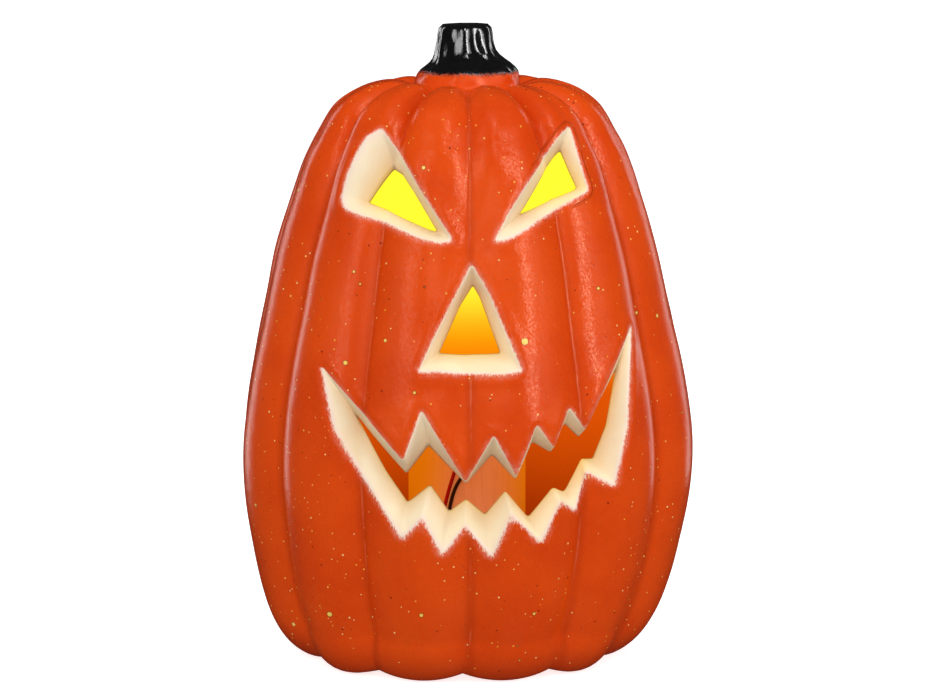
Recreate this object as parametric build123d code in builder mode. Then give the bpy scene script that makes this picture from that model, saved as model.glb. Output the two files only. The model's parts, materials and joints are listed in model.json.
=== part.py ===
from build123d import *
from math import asin, cos, degrees, hypot, radians, sin, sqrt
import os

# Battery-lit jack-o'-lantern: a hollow blow-moulded pumpkin with a carved-look face, standing on its lobes.
# A screwed-in base plate carries the battery box, the slide switch and a lamp post that lights the shell
# from inside. Millimetres, +Z up, the face looks along -Y, and the origin is on the ground at the middle.

# ---------------------------------------------------------------- driving dimensions
# Shell: crest radius and groove depth of the lobed section at each height.
SHELL_SECTIONS = [
    (0.0, 66.0, 4.0),
    (3.5, 73.0, 4.0),
    (11.0, 83.5, 4.5),
    (22.5, 92.5, 4.5),
    (40.0, 100.5, 5.0),
    (62.0, 106.5, 5.5),
    (90.0, 110.5, 5.5),
    (108.0, 110.5, 5.5),
    (128.0, 108.5, 5.5),
    (150.0, 104.5, 5.5),
    (173.0, 99.0, 5.5),
    (197.0, 93.5, 5.5),
    (220.0, 86.5, 5.5),
    (243.0, 78.5, 6.0),
    (254.5, 72.5, 6.5),
    (266.5, 65.0, 7.5),
    (274.5, 53.0, 8.0),
    (278.0, 39.0, 6.5),
]
# Groove bearings in degrees, from straight ahead (-Y) towards +X. The mould parts near -88 and 89.
GROOVE_BEARINGS = [-88, -58, -29, 0, 30, 58, 89, 120, 150, 180, 210, 240]
WALL = 2.0
RIM = 1.6  # wall of the face recesses
RECESS_DEPTH = 12.0  # lip of a recess to its cut-out edge, front to back

STEM_TOP = 305.0
STEM_FOOT = 275.0
HOLLOW_BOTTOM = 2.0
HOLLOW_TOP = 271.5
FLOOR_RECESS_RADIUS = 54.0
FLOOR_UNDERSIDE = 5.0
FLOOR_THICKNESS = 2.0
FLOOR_HOLE_RADIUS = 43.0

# Face: pairs of (lip point, cut-out point), each point as x and z in the front view.
LEFT_EYE = [
    ((-40.5, 259.5), (-35, 240)),
    ((-30.5, 245.5), (-31, 238)),
    ((-7.5, 210), (-15, 212.5)),
    ((-23.5, 211), (-24, 216)),
    ((-45, 219), (-40, 222)),
    ((-59.5, 224.5), (-46.5, 224.5)),
    ((-57.5, 238), (-43, 230)),
    ((-47, 255), (-38, 236.5)),
]
RIGHT_EYE = [
    ((48.5, 259.5), (42.5, 247.5)),
    ((52.5, 242), (46.5, 239.5)),
    ((56, 231), (50.5, 230.5)),
    ((45.5, 225.5), (42, 227.5)),
    ((29, 216.5), (31, 223.5)),
    ((16, 210), (25.5, 221.5)),
    ((11.5, 211), (23.5, 221)),
    ((24, 232), (30, 231)),
    ((34, 245), (38, 243.5)),
]
NOSE = [
    ((0.5, 199), (1, 188)),
    ((9, 187), (4.5, 182.5)),
    ((19.5, 161.5), (11, 165)),
    ((23.5, 151), (13.5, 157.5)),
    ((0, 149.5), (0, 156.5)),
    ((-24, 151), (-14, 157.5)),
    ((-18, 164.5), (-11, 165)),
    ((-9.5, 181), (-4, 180)),
]
MOUTH = [
    ((-69, 150.5), (-52.5, 126)),
    ((-31.5, 110.5), (-29.5, 102.5)),
    ((-23, 133.5), (-19.5, 115)),
    ((-2.5, 101), (-2, 97.5)),
    ((10.5, 122), (10, 110.5)),
    ((21, 103.5), (21, 100)),
    ((30.5, 127), (28.5, 116.5)),
    ((38.5, 115.5), (37.5, 111.5)),
    ((46, 133), (43.5, 124)),
    ((53.5, 122), (51, 116.5)),
    ((76, 167), (68, 145.5)),
    ((73.5, 123), (63.5, 121.5)),
    ((67, 95.5), (57.5, 106.5)),
    ((53.5, 102.5), (52, 106)),
    ((49, 84.5), (43.5, 92.5)),
    ((41.5, 90), (38, 94.5)),
    ((32.5, 71.5), (26.5, 82)),
    ((18.5, 85), (16, 94)),
    ((10, 65), (6.5, 83.5)),
    ((-2.5, 79.5), (-2, 90)),
    ((-13.5, 66.5), (-10, 85)),
    ((-22.5, 83.5), (-18.5, 97)),
    ((-32, 74), (-29, 89)),
    ((-51.5, 103), (-39.5, 103)),
    ((-64, 123), (-47.5, 117.5)),
]

# Base plate, battery box and door
PLATE_RADIUS = 53.5
PLATE_BOTTOM = 2.0
SPIGOT_RADIUS = 42.7
SPIGOT_WALL = 1.8
SPIGOT_TOP = 11.0
BOX_X = 60.0
BOX_Y = 46.0
BOX_CEILING = 20.0
BOX_WALL = 1.8
SEAT_RADIUS = 34.0
SEAT_TOP = 22.0
BASE_SCREW_RADIUS = 48.0
SCREW_HOLE = 1.5
SCREW_SHANK = 1.45
SMALL_HOLE = 1.0
SMALL_SHANK = 0.95
DOOR_GAP = 0.2
DOOR_BOTTOM = 2.3
DOOR_THICKNESS = 2.4
HINGE_Y = 21.4
HINGE_Z = DOOR_BOTTOM + DOOR_THICKNESS / 2
HINGE_PIN_RADIUS = 1.0
HINGE_PIN_LENGTH = 1.4
KNUCKLE_RADIUS = 1.2
RUNNING_GAP = 0.06

# AA cells, laid along X side by side
CELL_RADIUS = 7.1
CELL_LENGTH = 49.2
NUB_RADIUS = 2.7
NUB_LENGTH = 1.3
CELL_PITCH = 15.0
CELL_Z = 12.3
CONTACT_THICKNESS = 0.5
SPRING_WIRE_RADIUS = 0.4
SPRING_TURNS = 4

# Slide switch: three positions, the middle one off
SWITCH_Y = -31.0
SWITCH_TRAVEL = 4.0
SWITCH_BODY = (16.0, 7.0, 5.0)
SWITCH_CAVITY = (12.8, 5.2, 3.6)
SLIDER = (8.0, 4.8, 3.0)
KNOB = (4.0, 3.0)
KNOB_BOTTOM = 1.0
EAR_SPAN = 20.0
EAR_THICKNESS = 0.8

# Lamp post and lamp
POST_RADIUS = 28.5
POST_WALL = 1.6
POST_FOOT = 2.0
POST_TOP = 118.0
POST_CAP = 2.0
POST_SCREW_RADIUS = 31.2
STANDOFF = 3.0
BOARD_RADIUS = 19.0
BOARD_THICKNESS = 1.6
BOARD_SCREW_RADIUS = 14.5
LED_CIRCLE = 7.0
LED_RADIUS = 2.5
LED_HEIGHT = 8.6

# Timer board inside the post, and the wires
TIMER_X = 34.0
TIMER_Y = 26.0
TIMER_BOTTOM = 25.0
TIMER_SCREW_X = 14.0
TIMER_SCREW_Y = 10.0
WIRE_RADIUS = 0.9
WIRE_RUN_RADIUS = 30.2  # middle of a wire lying on the post
LEAD_BEARING = 67.0


def at_bearing(radius, bearing):
    """The point in plan at a radius and at a bearing from straight ahead towards +X."""
    return (radius * sin(radians(bearing)), -radius * cos(radians(bearing)))


FLOOR_TOP = FLOOR_UNDERSIDE + FLOOR_THICKNESS
BOARD_BOTTOM = POST_TOP + STANDOFF
BOARD_TOP = BOARD_BOTTOM + BOARD_THICKNESS
TIMER_TOP = TIMER_BOTTOM + BOARD_THICKNESS
CELL_FLAT_END = CELL_LENGTH + NUB_LENGTH - (BOX_X / 2 - CONTACT_THICKNESS)
BASE_SCREWS = [at_bearing(BASE_SCREW_RADIUS, 45 + 90 * i) for i in range(4)]
POST_SCREWS = [at_bearing(POST_SCREW_RADIUS, b) for b in (-30, 30, 150, 210)]
BOARD_SCREWS = [at_bearing(BOARD_SCREW_RADIUS, 120 * i) for i in range(3)]
LED_POINTS = [at_bearing(LED_CIRCLE, 60 + 120 * i) for i in range(3)]
TIMER_SCREWS = [(TIMER_SCREW_X, TIMER_SCREW_Y), (-TIMER_SCREW_X, -TIMER_SCREW_Y)]
SWITCH_SCREWS = [(-EAR_SPAN / 2, SWITCH_Y), (EAR_SPAN / 2, SWITCH_Y)]


def lobed_section(height, crest, groove):
    """One horizontal section of the pumpkin: an arc for each lobe, meeting at sharp grooves."""
    closed = GROOVE_BEARINGS + [GROOVE_BEARINGS[0] + 360]
    with BuildSketch(Plane.XY.offset(height)) as section:
        with BuildLine():
            for start, end in zip(closed, closed[1:]):
                ThreePointArc(
                    at_bearing(crest - groove, start),
                    at_bearing(crest, (start + end) / 2),
                    at_bearing(crest - groove, end),
                )
        make_face()
    return section.sketch


def crest_and_groove(height):
    """Crest radius and groove depth at a height, straight between the listed sections."""
    for (z0, r0, g0), (z1, r1, g1) in zip(SHELL_SECTIONS, SHELL_SECTIONS[1:]):
        if height <= z1:
            share = (height - z0) / (z1 - z0)
            return r0 + share * (r1 - r0), g0 + share * (g1 - g0)
    return SHELL_SECTIONS[-1][1:]


def front_depth(x, z):
    """Y of the shell's front surface at x and z, found by walking round to the right bearing."""
    crest, groove = crest_and_groove(z)
    radius = crest
    for _ in range(6):
        bearing = degrees(asin(min(1.0, max(-1.0, x / radius))))
        starts = [b for b in GROOVE_BEARINGS if b <= bearing]
        ends = [b for b in GROOVE_BEARINGS if b > bearing]
        middle, half = (max(starts) + min(ends)) / 2, (min(ends) - max(starts)) / 2
        radius = crest - groove * ((bearing - middle) / half) ** 2
    return -sqrt(radius**2 - x**2)


def grown(outline, amount):
    """A closed outline moved outwards by amount, with its sharpest corners kept short."""
    count = len(outline)
    area = sum(
        outline[i][0] * outline[(i + 1) % count][1] - outline[(i + 1) % count][0] * outline[i][1]
        for i in range(count)
    )
    turn = 1 if area > 0 else -1
    moved = []
    for i, (x, z) in enumerate(outline):
        before, after = outline[i - 1], outline[(i + 1) % count]
        normals = []
        for (ax, az), (bx, bz) in ((before, (x, z)), ((x, z), after)):
            length = hypot(bx - ax, bz - az)
            normals.append(((bz - az) / length * turn, (ax - bx) / length * turn))
        nx, nz = normals[0][0] + normals[1][0], normals[0][1] + normals[1][1]
        size = hypot(nx, nz)
        reach = amount * min(2.0 / size, 1.8)
        moved.append((x + nx / size * reach, z + nz / size * reach))
    return moved


def face_plug(feature, growth=0.0):
    """The closed solid that fills one face recess: straight in front of its lip, straight behind its cut-out,
    and tapering from one to the other in between. growth makes it larger all round."""
    lip = grown([pair[0] for pair in feature], growth)
    cut = grown([pair[1] for pair in feature], growth)
    rings = [
        [(x, -140.0, z) for x, z in lip],
        [(x, front_depth(px, pz), z) for (x, z), ((px, pz), _) in zip(lip, feature)],
        [(x, front_depth(px, pz) + RECESS_DEPTH, z) for (x, z), (_, (px, pz)) in zip(cut, feature)],
        [(x, -32.0, z) for x, z in cut],
    ]
    faces = [Face(Wire.make_polygon(rings[0])), Face(Wire.make_polygon(rings[-1]))]
    count = len(feature)
    for near, far in zip(rings, rings[1:]):
        for i in range(count):
            j = (i + 1) % count
            faces.append(Face(Wire.make_polygon([near[i], near[j], far[i]])))
            faces.append(Face(Wire.make_polygon([near[j], far[j], far[i]])))
    return Solid(Shell(faces))


def pan_screws(points, seat, tip, shank_radius, head_radius, head_height):
    """Identical pan-head screws along Z: heads bear on the height seat, shanks run from there to tip."""
    way = 1 if tip > seat else -1
    top = seat - way * head_height
    with BuildPart() as group:
        with BuildSketch(Plane.XY.offset(seat)):
            with Locations(*points):
                Circle(shank_radius)
        extrude(amount=tip - seat)
        chamfer(group.edges().group_by(Axis.Z)[-1 if way > 0 else 0], length=shank_radius * 0.6)
        with BuildSketch(Plane.XY.offset(seat)):
            with Locations(*points):
                Circle(head_radius)
        extrude(amount=top - seat)
        fillet(group.edges().group_by(Axis.Z)[0 if way > 0 else -1], radius=head_height * 0.5)
        with BuildSketch(Plane.XY.offset(top)):
            with Locations(*points):
                Rectangle(head_radius * 1.1, head_radius * 0.3)
                Rectangle(head_radius * 0.3, head_radius * 1.1)
        extrude(amount=way * head_height * 0.6, mode=Mode.SUBTRACT)
    return group.part


def strand(points):
    """An insulated wire along a smooth path through the points."""
    with BuildPart() as wire:
        with BuildLine() as path:
            Spline(*points)
        with BuildSketch(Plane(origin=path.line @ 0, z_dir=path.line % 0)):
            Circle(WIRE_RADIUS)
        sweep()
    return wire.part


def coil_contact(side, y):
    """A coil spring that reaches from the wall plate on one side (+1 or -1 along X) to the cell's flat end."""
    start = side * (BOX_X / 2 - CONTACT_THICKNESS - SPRING_WIRE_RADIUS * 0.5)
    end = side * (CELL_FLAT_END + SPRING_WIRE_RADIUS + 0.05)
    length = abs(start - end)
    with BuildPart() as coil:
        with BuildLine() as path:
            Helix(
                pitch=length / SPRING_TURNS,
                height=length,
                radius=3.4,
                center=(start, y, CELL_Z),
                direction=(-side, 0, 0),
            )
        with BuildSketch(Plane(origin=path.line @ 0, z_dir=path.line % 0)):
            Circle(SPRING_WIRE_RADIUS)
        sweep(is_frenet=True)
    return coil.part


def wall_plate(side, y_low, y_high, height=10.0):
    """A flat contact plate standing against the battery box's end wall."""
    x_wall = side * BOX_X / 2
    with BuildPart() as plate:
        with BuildSketch(Plane.YZ.offset(x_wall)):
            with Locations(((y_low + y_high) / 2, CELL_Z)):
                RectangleRounded(y_high - y_low, height, 1.0)
        extrude(amount=-side * CONTACT_THICKNESS)
    return plate.part


def battery_cell(y, nub_side):
    """An AA cell along X, centred on y, with its raised end towards nub_side."""
    plus = BOX_X / 2 - CONTACT_THICKNESS
    with BuildPart() as cell:
        with BuildSketch(Plane(origin=(0, y, CELL_Z), x_dir=(nub_side, 0, 0), z_dir=(0, -nub_side, 0))):
            with BuildLine():
                Polyline(
                    (plus, 0),
                    (plus, NUB_RADIUS),
                    (plus - NUB_LENGTH, NUB_RADIUS),
                    (plus - NUB_LENGTH, CELL_RADIUS - 1.2),
                    (plus - NUB_LENGTH - 0.8, CELL_RADIUS - 0.6),
                    (plus - NUB_LENGTH - 1.2, CELL_RADIUS),
                    (-CELL_FLAT_END + 0.8, CELL_RADIUS),
                    (-CELL_FLAT_END, CELL_RADIUS - 0.8),
                    (-CELL_FLAT_END, 0),
                    close=True,
                )
            make_face()
        revolve(axis=Axis((0, y, CELL_Z), (1, 0, 0)))
    return cell.part


def save(part, label):
    """Labels a finished sub-part and writes its STEP file."""
    part.label = label
    export_step(part, os.path.join("parts", label + ".step"))


os.makedirs("parts", exist_ok=True)

# ---------------------------------------------------------------- shell
with BuildPart() as shell_body:
    loft(sections=[lobed_section(*row) for row in SHELL_SECTIONS], ruled=True)

# The space inside the shell: WALL thick at the sides, thicker where the shell slopes in at the two ends.
hollow_sections = [(HOLLOW_BOTTOM, 66.5, 4.0)]
for z, crest, groove in SHELL_SECTIONS[1:-2]:
    slope_wall = WALL if 20 < z < 250 else WALL * 1.4
    hollow_sections.append((z, crest - slope_wall, groove))
hollow_sections.append((HOLLOW_TOP, 53.5, 8.0))
with BuildPart() as shell_hollow:
    loft(sections=[lobed_section(*row) for row in hollow_sections], ruled=True)

with BuildPart() as pumpkin_shell:
    add(shell_body.part)
    add(shell_hollow.part, mode=Mode.SUBTRACT)
    # Floor cup around the base plate, with a boss over each base screw.
    with BuildSketch(Plane.XY):
        Circle(FLOOR_RECESS_RADIUS + WALL)
    extrude(amount=FLOOR_TOP)
    with BuildSketch(Plane.XY.offset(FLOOR_UNDERSIDE)):
        with Locations(*BASE_SCREWS):
            Circle(3.6)
    extrude(amount=8.0)
    # The crown sinks towards the stem.
    with BuildSketch(Plane.XZ):
        with BuildLine():
            Polyline((22, 274.5), (29, 275.2), (39, 278.2), (39, 280), (22, 280), close=True)
        make_face()
    revolve(axis=Axis.Z, mode=Mode.SUBTRACT)
    # Collar and stem, hollow up to a closed rounded top.
    with BuildSketch(Plane.XZ):
        with BuildLine():
            Line((0, STEM_FOOT - 1.5), (27, STEM_FOOT - 1.5))
            Spline((27, STEM_FOOT - 1.5), (22.5, 281.5), (16.5, 288), (13.5, 297), (12.5, 302.5))
            Line((12.5, 302.5), (10.5, STEM_TOP))
            Line((10.5, STEM_TOP), (0, STEM_TOP))
            Line((0, STEM_TOP), (0, STEM_FOOT - 1.5))
        make_face()
    revolve(axis=Axis.Z)
    with BuildSketch(Plane.XZ):
        with BuildLine():
            Line((0, HOLLOW_TOP - 2), (24, HOLLOW_TOP - 2))
            Spline((24, HOLLOW_TOP - 2), (23, 275), (18.5, 282), (14, 289), (11.2, 297), (10.2, 302.5))
            Line((10.2, 302.5), (0, 302.5))
            Line((0, 302.5), (0, HOLLOW_TOP - 2))
        make_face()
    revolve(axis=Axis.Z, mode=Mode.SUBTRACT)
    # Recess for the base plate, the opening its box goes through, and the screw holes.
    with BuildSketch(Plane.XY):
        Circle(FLOOR_RECESS_RADIUS)
    extrude(amount=FLOOR_UNDERSIDE, mode=Mode.SUBTRACT)
    with BuildSketch(Plane.XY):
        Circle(FLOOR_HOLE_RADIUS)
    extrude(amount=FLOOR_TOP, mode=Mode.SUBTRACT)
    with BuildSketch(Plane.XY):
        with Locations(*BASE_SCREWS):
            Circle(SCREW_HOLE)
    extrude(amount=FLOOR_UNDERSIDE + 7.0, mode=Mode.SUBTRACT)
    # Face: each recess gets its own wall, as deep as RECESS_DEPTH, and is then opened.
    for feature in (LEFT_EYE, RIGHT_EYE, NOSE, MOUTH):
        walls = (face_plug(feature, RIM) & shell_body.part) - Pos(0, RECESS_DEPTH, 0) * shell_body.part
        add(walls)
        add(face_plug(feature), mode=Mode.SUBTRACT)
save(pumpkin_shell.part, "pumpkin_shell")

# ---------------------------------------------------------------- base plate
with BuildPart() as base_plate:
    with BuildSketch(Plane.XY.offset(PLATE_BOTTOM)):
        Circle(PLATE_RADIUS)
    extrude(amount=FLOOR_UNDERSIDE - PLATE_BOTTOM)
    chamfer(base_plate.edges().group_by(Axis.Z)[0], length=0.6)
    with BuildSketch(Plane.XY.offset(FLOOR_UNDERSIDE)):
        Circle(SPIGOT_RADIUS)
        Circle(SPIGOT_RADIUS - SPIGOT_WALL, mode=Mode.SUBTRACT)
    extrude(amount=SPIGOT_TOP - FLOOR_UNDERSIDE)
    # Battery box, its ceiling wide enough to seat the lamp post.
    with BuildSketch(Plane.XY.offset(FLOOR_UNDERSIDE)):
        RectangleRounded(BOX_X + 2 * BOX_WALL, BOX_Y + 2 * BOX_WALL, 1.5)
    extrude(amount=BOX_CEILING - FLOOR_UNDERSIDE)
    with BuildSketch(Plane.XY.offset(BOX_CEILING)):
        Circle(SEAT_RADIUS)
    extrude(amount=SEAT_TOP - BOX_CEILING)
    with BuildSketch(Plane.XY.offset(10)):
        with Locations(*POST_SCREWS):
            Circle(2.8)
    extrude(amount=BOX_CEILING - 10)
    with BuildSketch(Plane.XY.offset(SEAT_TOP)):
        with Locations(*TIMER_SCREWS):
            Circle(2.6)
    extrude(amount=TIMER_BOTTOM - SEAT_TOP)
    # Ribs between the box and the spigot.
    with BuildSketch(Plane.XY.offset(FLOOR_UNDERSIDE)):
        with Locations((36.6, 0), (-36.6, 0)):
            Rectangle(9.6, 1.6)
        with Locations((25, 29), (-25, 29), (25, -29), (-25, -29)):
            Rectangle(1.6, 8.4)
    extrude(amount=4.0)
    with BuildSketch(Plane.XY.offset(PLATE_BOTTOM)):
        Rectangle(BOX_X, BOX_Y)
    extrude(amount=BOX_CEILING - PLATE_BOTTOM, mode=Mode.SUBTRACT)
    # Cradle ribs between the cells, and the ledge the door's front edge closes against.
    with BuildSketch(Plane.XY.offset(14)):
        with Locations(*[(x, y) for x in (-16, 16) for y in (-CELL_PITCH / 2, CELL_PITCH / 2)]):
            Rectangle(8, 0.7)
    extrude(amount=BOX_CEILING - 14)
    with BuildSketch(Plane.XY.offset(DOOR_BOTTOM + DOOR_THICKNESS + 0.2)):
        with Locations((0, -BOX_Y / 2 + 0.35)):
            Rectangle(20, 0.7)
    extrude(amount=1.6)
    # Sockets for the door's pins.
    with BuildSketch(Plane.YZ.offset(-BOX_X / 2 - HINGE_PIN_LENGTH - 0.3)):
        with Locations((HINGE_Y, HINGE_Z)):
            Circle(HINGE_PIN_RADIUS + RUNNING_GAP)
    extrude(amount=BOX_X + 2 * HINGE_PIN_LENGTH + 0.6, mode=Mode.SUBTRACT)
    # Slots in the box's end walls for the two outer contact tabs.
    with BuildSketch(Plane.YZ.offset(BOX_X / 2)):
        with Locations((-CELL_PITCH, CELL_Z)):
            Rectangle(3.4, 0.9)
    extrude(amount=BOX_WALL, mode=Mode.SUBTRACT)
    with BuildSketch(Plane.YZ.offset(-BOX_X / 2)):
        with Locations((CELL_PITCH, CELL_Z)):
            Rectangle(3.4, 0.9)
    extrude(amount=-BOX_WALL, mode=Mode.SUBTRACT)
    # Base screws: through holes with counterbores.
    with BuildSketch(Plane.XY.offset(PLATE_BOTTOM)):
        with Locations(*BASE_SCREWS):
            Circle(SCREW_HOLE)
    extrude(amount=FLOOR_UNDERSIDE - PLATE_BOTTOM, mode=Mode.SUBTRACT)
    with BuildSketch(Plane.XY.offset(PLATE_BOTTOM)):
        with Locations(*BASE_SCREWS):
            Circle(3.2)
    extrude(amount=1.5, mode=Mode.SUBTRACT)
    # Blind holes for the screws that come down from above.
    with BuildSketch(Plane.XY.offset(12)):
        with Locations(*POST_SCREWS):
            Circle(SCREW_HOLE)
    extrude(amount=SEAT_TOP - 12, mode=Mode.SUBTRACT)
    with BuildSketch(Plane.XY.offset(TIMER_BOTTOM - 4)):
        with Locations(*TIMER_SCREWS):
            Circle(SMALL_HOLE)
    extrude(amount=4, mode=Mode.SUBTRACT)
    with BuildSketch(Plane.XY.offset(FLOOR_UNDERSIDE - 2)):
        with Locations(*SWITCH_SCREWS):
            Circle(SMALL_HOLE)
    extrude(amount=2, mode=Mode.SUBTRACT)
    # Switch slot in a shallow finger recess, with three position marks.
    with BuildSketch(Plane.XY.offset(PLATE_BOTTOM)):
        with Locations((0, SWITCH_Y)):
            RectangleRounded(15, 6.4, 1.2)
        with Locations(*[(x * SWITCH_TRAVEL / 2, SWITCH_Y - 5.2) for x in (-1, 0, 1)]):
            Rectangle(0.5, 2)
    extrude(amount=0.6, mode=Mode.SUBTRACT)
    with BuildSketch(Plane.XY.offset(PLATE_BOTTOM)):
        with Locations((0, SWITCH_Y)):
            Rectangle(KNOB[0] + SWITCH_TRAVEL + 0.4, KNOB[1] + 0.4)
    extrude(amount=FLOOR_UNDERSIDE - PLATE_BOTTOM, mode=Mode.SUBTRACT)
save(base_plate.part, "base_plate")
save(pan_screws(BASE_SCREWS, PLATE_BOTTOM + 1.5, 11.5, SCREW_SHANK, 2.9, 1.5), "base_screws")

# ---------------------------------------------------------------- battery door
with BuildPart() as battery_door:
    front = -BOX_Y / 2 + DOOR_GAP
    width = BOX_X - 2 * DOOR_GAP
    with BuildSketch(Plane.XY.offset(DOOR_BOTTOM)):
        with Locations((0, (front + HINGE_Y) / 2)):
            Rectangle(width, HINGE_Y - front)
    extrude(amount=DOOR_THICKNESS)
    with BuildSketch(Plane.YZ.offset(-width / 2)):
        with Locations((HINGE_Y, HINGE_Z)):
            Circle(KNUCKLE_RADIUS)
    extrude(amount=width)
    with BuildSketch(Plane.YZ.offset(-BOX_X / 2 - HINGE_PIN_LENGTH)):
        with Locations((HINGE_Y, HINGE_Z)):
            Circle(HINGE_PIN_RADIUS)
    extrude(amount=BOX_X + 2 * HINGE_PIN_LENGTH)
    # Springy latch tongue between two slots, with finger grooves under it and a snap rib on its edge.
    with BuildSketch(Plane.XY.offset(DOOR_BOTTOM)):
        with Locations((-8, front + 5), (8, front + 5)):
            Rectangle(1, 10)
    extrude(amount=DOOR_THICKNESS, mode=Mode.SUBTRACT)
    with BuildSketch(Plane.XY.offset(DOOR_BOTTOM)):
        with Locations((0, front + 3), (0, front + 5), (0, front + 7)):
            Rectangle(12, 0.9)
    extrude(amount=0.6, mode=Mode.SUBTRACT)
    with BuildSketch(Plane.XY.offset(DOOR_BOTTOM + 1.4)):
        with Locations((0, front)):
            Rectangle(10, 0.24)
    extrude(amount=0.6)
save(battery_door.part, "battery_door")

# ---------------------------------------------------------------- cells and contacts
for number, (y, nub_side) in enumerate(((-CELL_PITCH, 1), (0, -1), (CELL_PITCH, 1)), start=1):
    save(battery_cell(y, nub_side), "battery_cell_" + str(number))

with BuildPart() as bridge_contacts:
    add(wall_plate(-1, -CELL_PITCH - 5, 5))
    add(coil_contact(-1, -CELL_PITCH))
    add(wall_plate(1, -5, CELL_PITCH + 5))
    add(coil_contact(1, 0))
save(bridge_contacts.part, "bridge_contacts")

with BuildPart() as plus_contact:
    add(wall_plate(1, -CELL_PITCH - 5, -CELL_PITCH + 5))
    with BuildSketch(Plane.YZ.offset(BOX_X / 2 - CONTACT_THICKNESS)):
        with Locations((-CELL_PITCH, CELL_Z)):
            Rectangle(3, 0.5)
    extrude(amount=6)
save(plus_contact.part, "plus_contact")

with BuildPart() as minus_contact:
    add(wall_plate(-1, CELL_PITCH - 5, CELL_PITCH + 5))
    add(coil_contact(-1, CELL_PITCH))
    with BuildSketch(Plane.YZ.offset(-BOX_X / 2 + CONTACT_THICKNESS)):
        with Locations((CELL_PITCH, CELL_Z)):
            Rectangle(3, 0.5)
    extrude(amount=-6)
save(minus_contact.part, "minus_contact")

# ---------------------------------------------------------------- slide switch
with BuildPart() as switch_body:
    with BuildSketch(Plane.XY.offset(FLOOR_UNDERSIDE)):
        with Locations((0, SWITCH_Y)):
            Rectangle(SWITCH_BODY[0], SWITCH_BODY[1])
    extrude(amount=SWITCH_BODY[2])
    with BuildSketch(Plane.XY.offset(FLOOR_UNDERSIDE)):
        with Locations((0, SWITCH_Y)):
            RectangleRounded(EAR_SPAN + 5, 5, 2.2)
    extrude(amount=EAR_THICKNESS)
    with BuildSketch(Plane.XY.offset(FLOOR_UNDERSIDE)):
        with Locations(*SWITCH_SCREWS):
            Circle(SMALL_HOLE)
    extrude(amount=EAR_THICKNESS, mode=Mode.SUBTRACT)
    with BuildSketch(Plane.XY.offset(FLOOR_UNDERSIDE)):
        with Locations((0, SWITCH_Y)):
            Rectangle(SWITCH_CAVITY[0], SWITCH_CAVITY[1])
    extrude(amount=SWITCH_CAVITY[2], mode=Mode.SUBTRACT)
save(switch_body.part, "switch_body")

with BuildPart() as switch_knob:
    with BuildSketch(Plane.XY.offset(FLOOR_UNDERSIDE + 0.1)):
        with Locations((0, SWITCH_Y)):
            Rectangle(SLIDER[0], SLIDER[1])
    extrude(amount=SLIDER[2])
    with BuildSketch(Plane.XY.offset(KNOB_BOTTOM)):
        with Locations((0, SWITCH_Y)):
            Rectangle(KNOB[0], KNOB[1])
    extrude(amount=FLOOR_UNDERSIDE + 0.2 - KNOB_BOTTOM)
    with BuildSketch(Plane.XY.offset(KNOB_BOTTOM)):
        with Locations(*[(x, SWITCH_Y) for x in (-1.2, 0, 1.2)]):
            Rectangle(0.4, KNOB[1])
    extrude(amount=0.3, mode=Mode.SUBTRACT)
save(switch_knob.part, "switch_knob")

with BuildPart() as switch_terminals:
    with BuildSketch(Plane.XY.offset(FLOOR_UNDERSIDE + SWITCH_BODY[2])):
        with Locations(*[(x, SWITCH_Y) for x in (-4.5, -1.5, 1.5, 4.5)]):
            Rectangle(1.2, 0.4)
    extrude(amount=3.2)
save(switch_terminals.part, "switch_terminals")
save(
    pan_screws(SWITCH_SCREWS, FLOOR_UNDERSIDE + EAR_THICKNESS, 3.2, SMALL_SHANK, 1.8, 1.2),
    "switch_screws",
)

# ---------------------------------------------------------------- lamp post
with BuildPart() as lamp_post:
    with BuildSketch(Plane.XY.offset(SEAT_TOP)):
        Circle(SEAT_RADIUS)
    extrude(amount=POST_FOOT)
    with BuildSketch(Plane.XY.offset(SEAT_TOP)):
        Circle(POST_RADIUS)
    extrude(amount=POST_TOP - SEAT_TOP)
    fillet(lamp_post.edges().group_by(Axis.Z)[-1], radius=1.2)
    with BuildSketch(Plane.XY.offset(SEAT_TOP)):
        Circle(POST_RADIUS - POST_WALL)
    extrude(amount=POST_TOP - POST_CAP - SEAT_TOP, mode=Mode.SUBTRACT)
    # Pillars under the lamp board, drilled through the cap.
    with BuildSketch(Plane.XY.offset(POST_TOP - POST_CAP - 4)):
        with Locations(*BOARD_SCREWS):
            Circle(2.6)
    extrude(amount=POST_CAP + 4 + STANDOFF)
    with BuildSketch(Plane.XY.offset(POST_TOP - POST_CAP - 3)):
        with Locations(*BOARD_SCREWS):
            Circle(SMALL_HOLE)
    extrude(amount=POST_CAP + 3 + STANDOFF, mode=Mode.SUBTRACT)
    with BuildSketch(Plane.XY.offset(SEAT_TOP)):
        with Locations(*POST_SCREWS):
            Circle(SCREW_HOLE)
    extrude(amount=POST_FOOT, mode=Mode.SUBTRACT)
    # Wire openings: one at the front, one for each battery lead.
    for bearing, opening_width in ((-24, 13), (LEAD_BEARING, 6), (LEAD_BEARING + 180, 6)):
        out = Vector(sin(radians(bearing)), -cos(radians(bearing)), 0)
        with BuildSketch(Plane(origin=(0, 0, 30.5), x_dir=(-out.Y, out.X, 0), z_dir=out)):
            RectangleRounded(opening_width, 7, 1.5)
        extrude(amount=POST_RADIUS + 2, mode=Mode.SUBTRACT)
save(lamp_post.part, "lamp_post")
save(pan_screws(POST_SCREWS, SEAT_TOP + POST_FOOT, 13, SCREW_SHANK, 2.6, 1.5), "post_screws")

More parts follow.
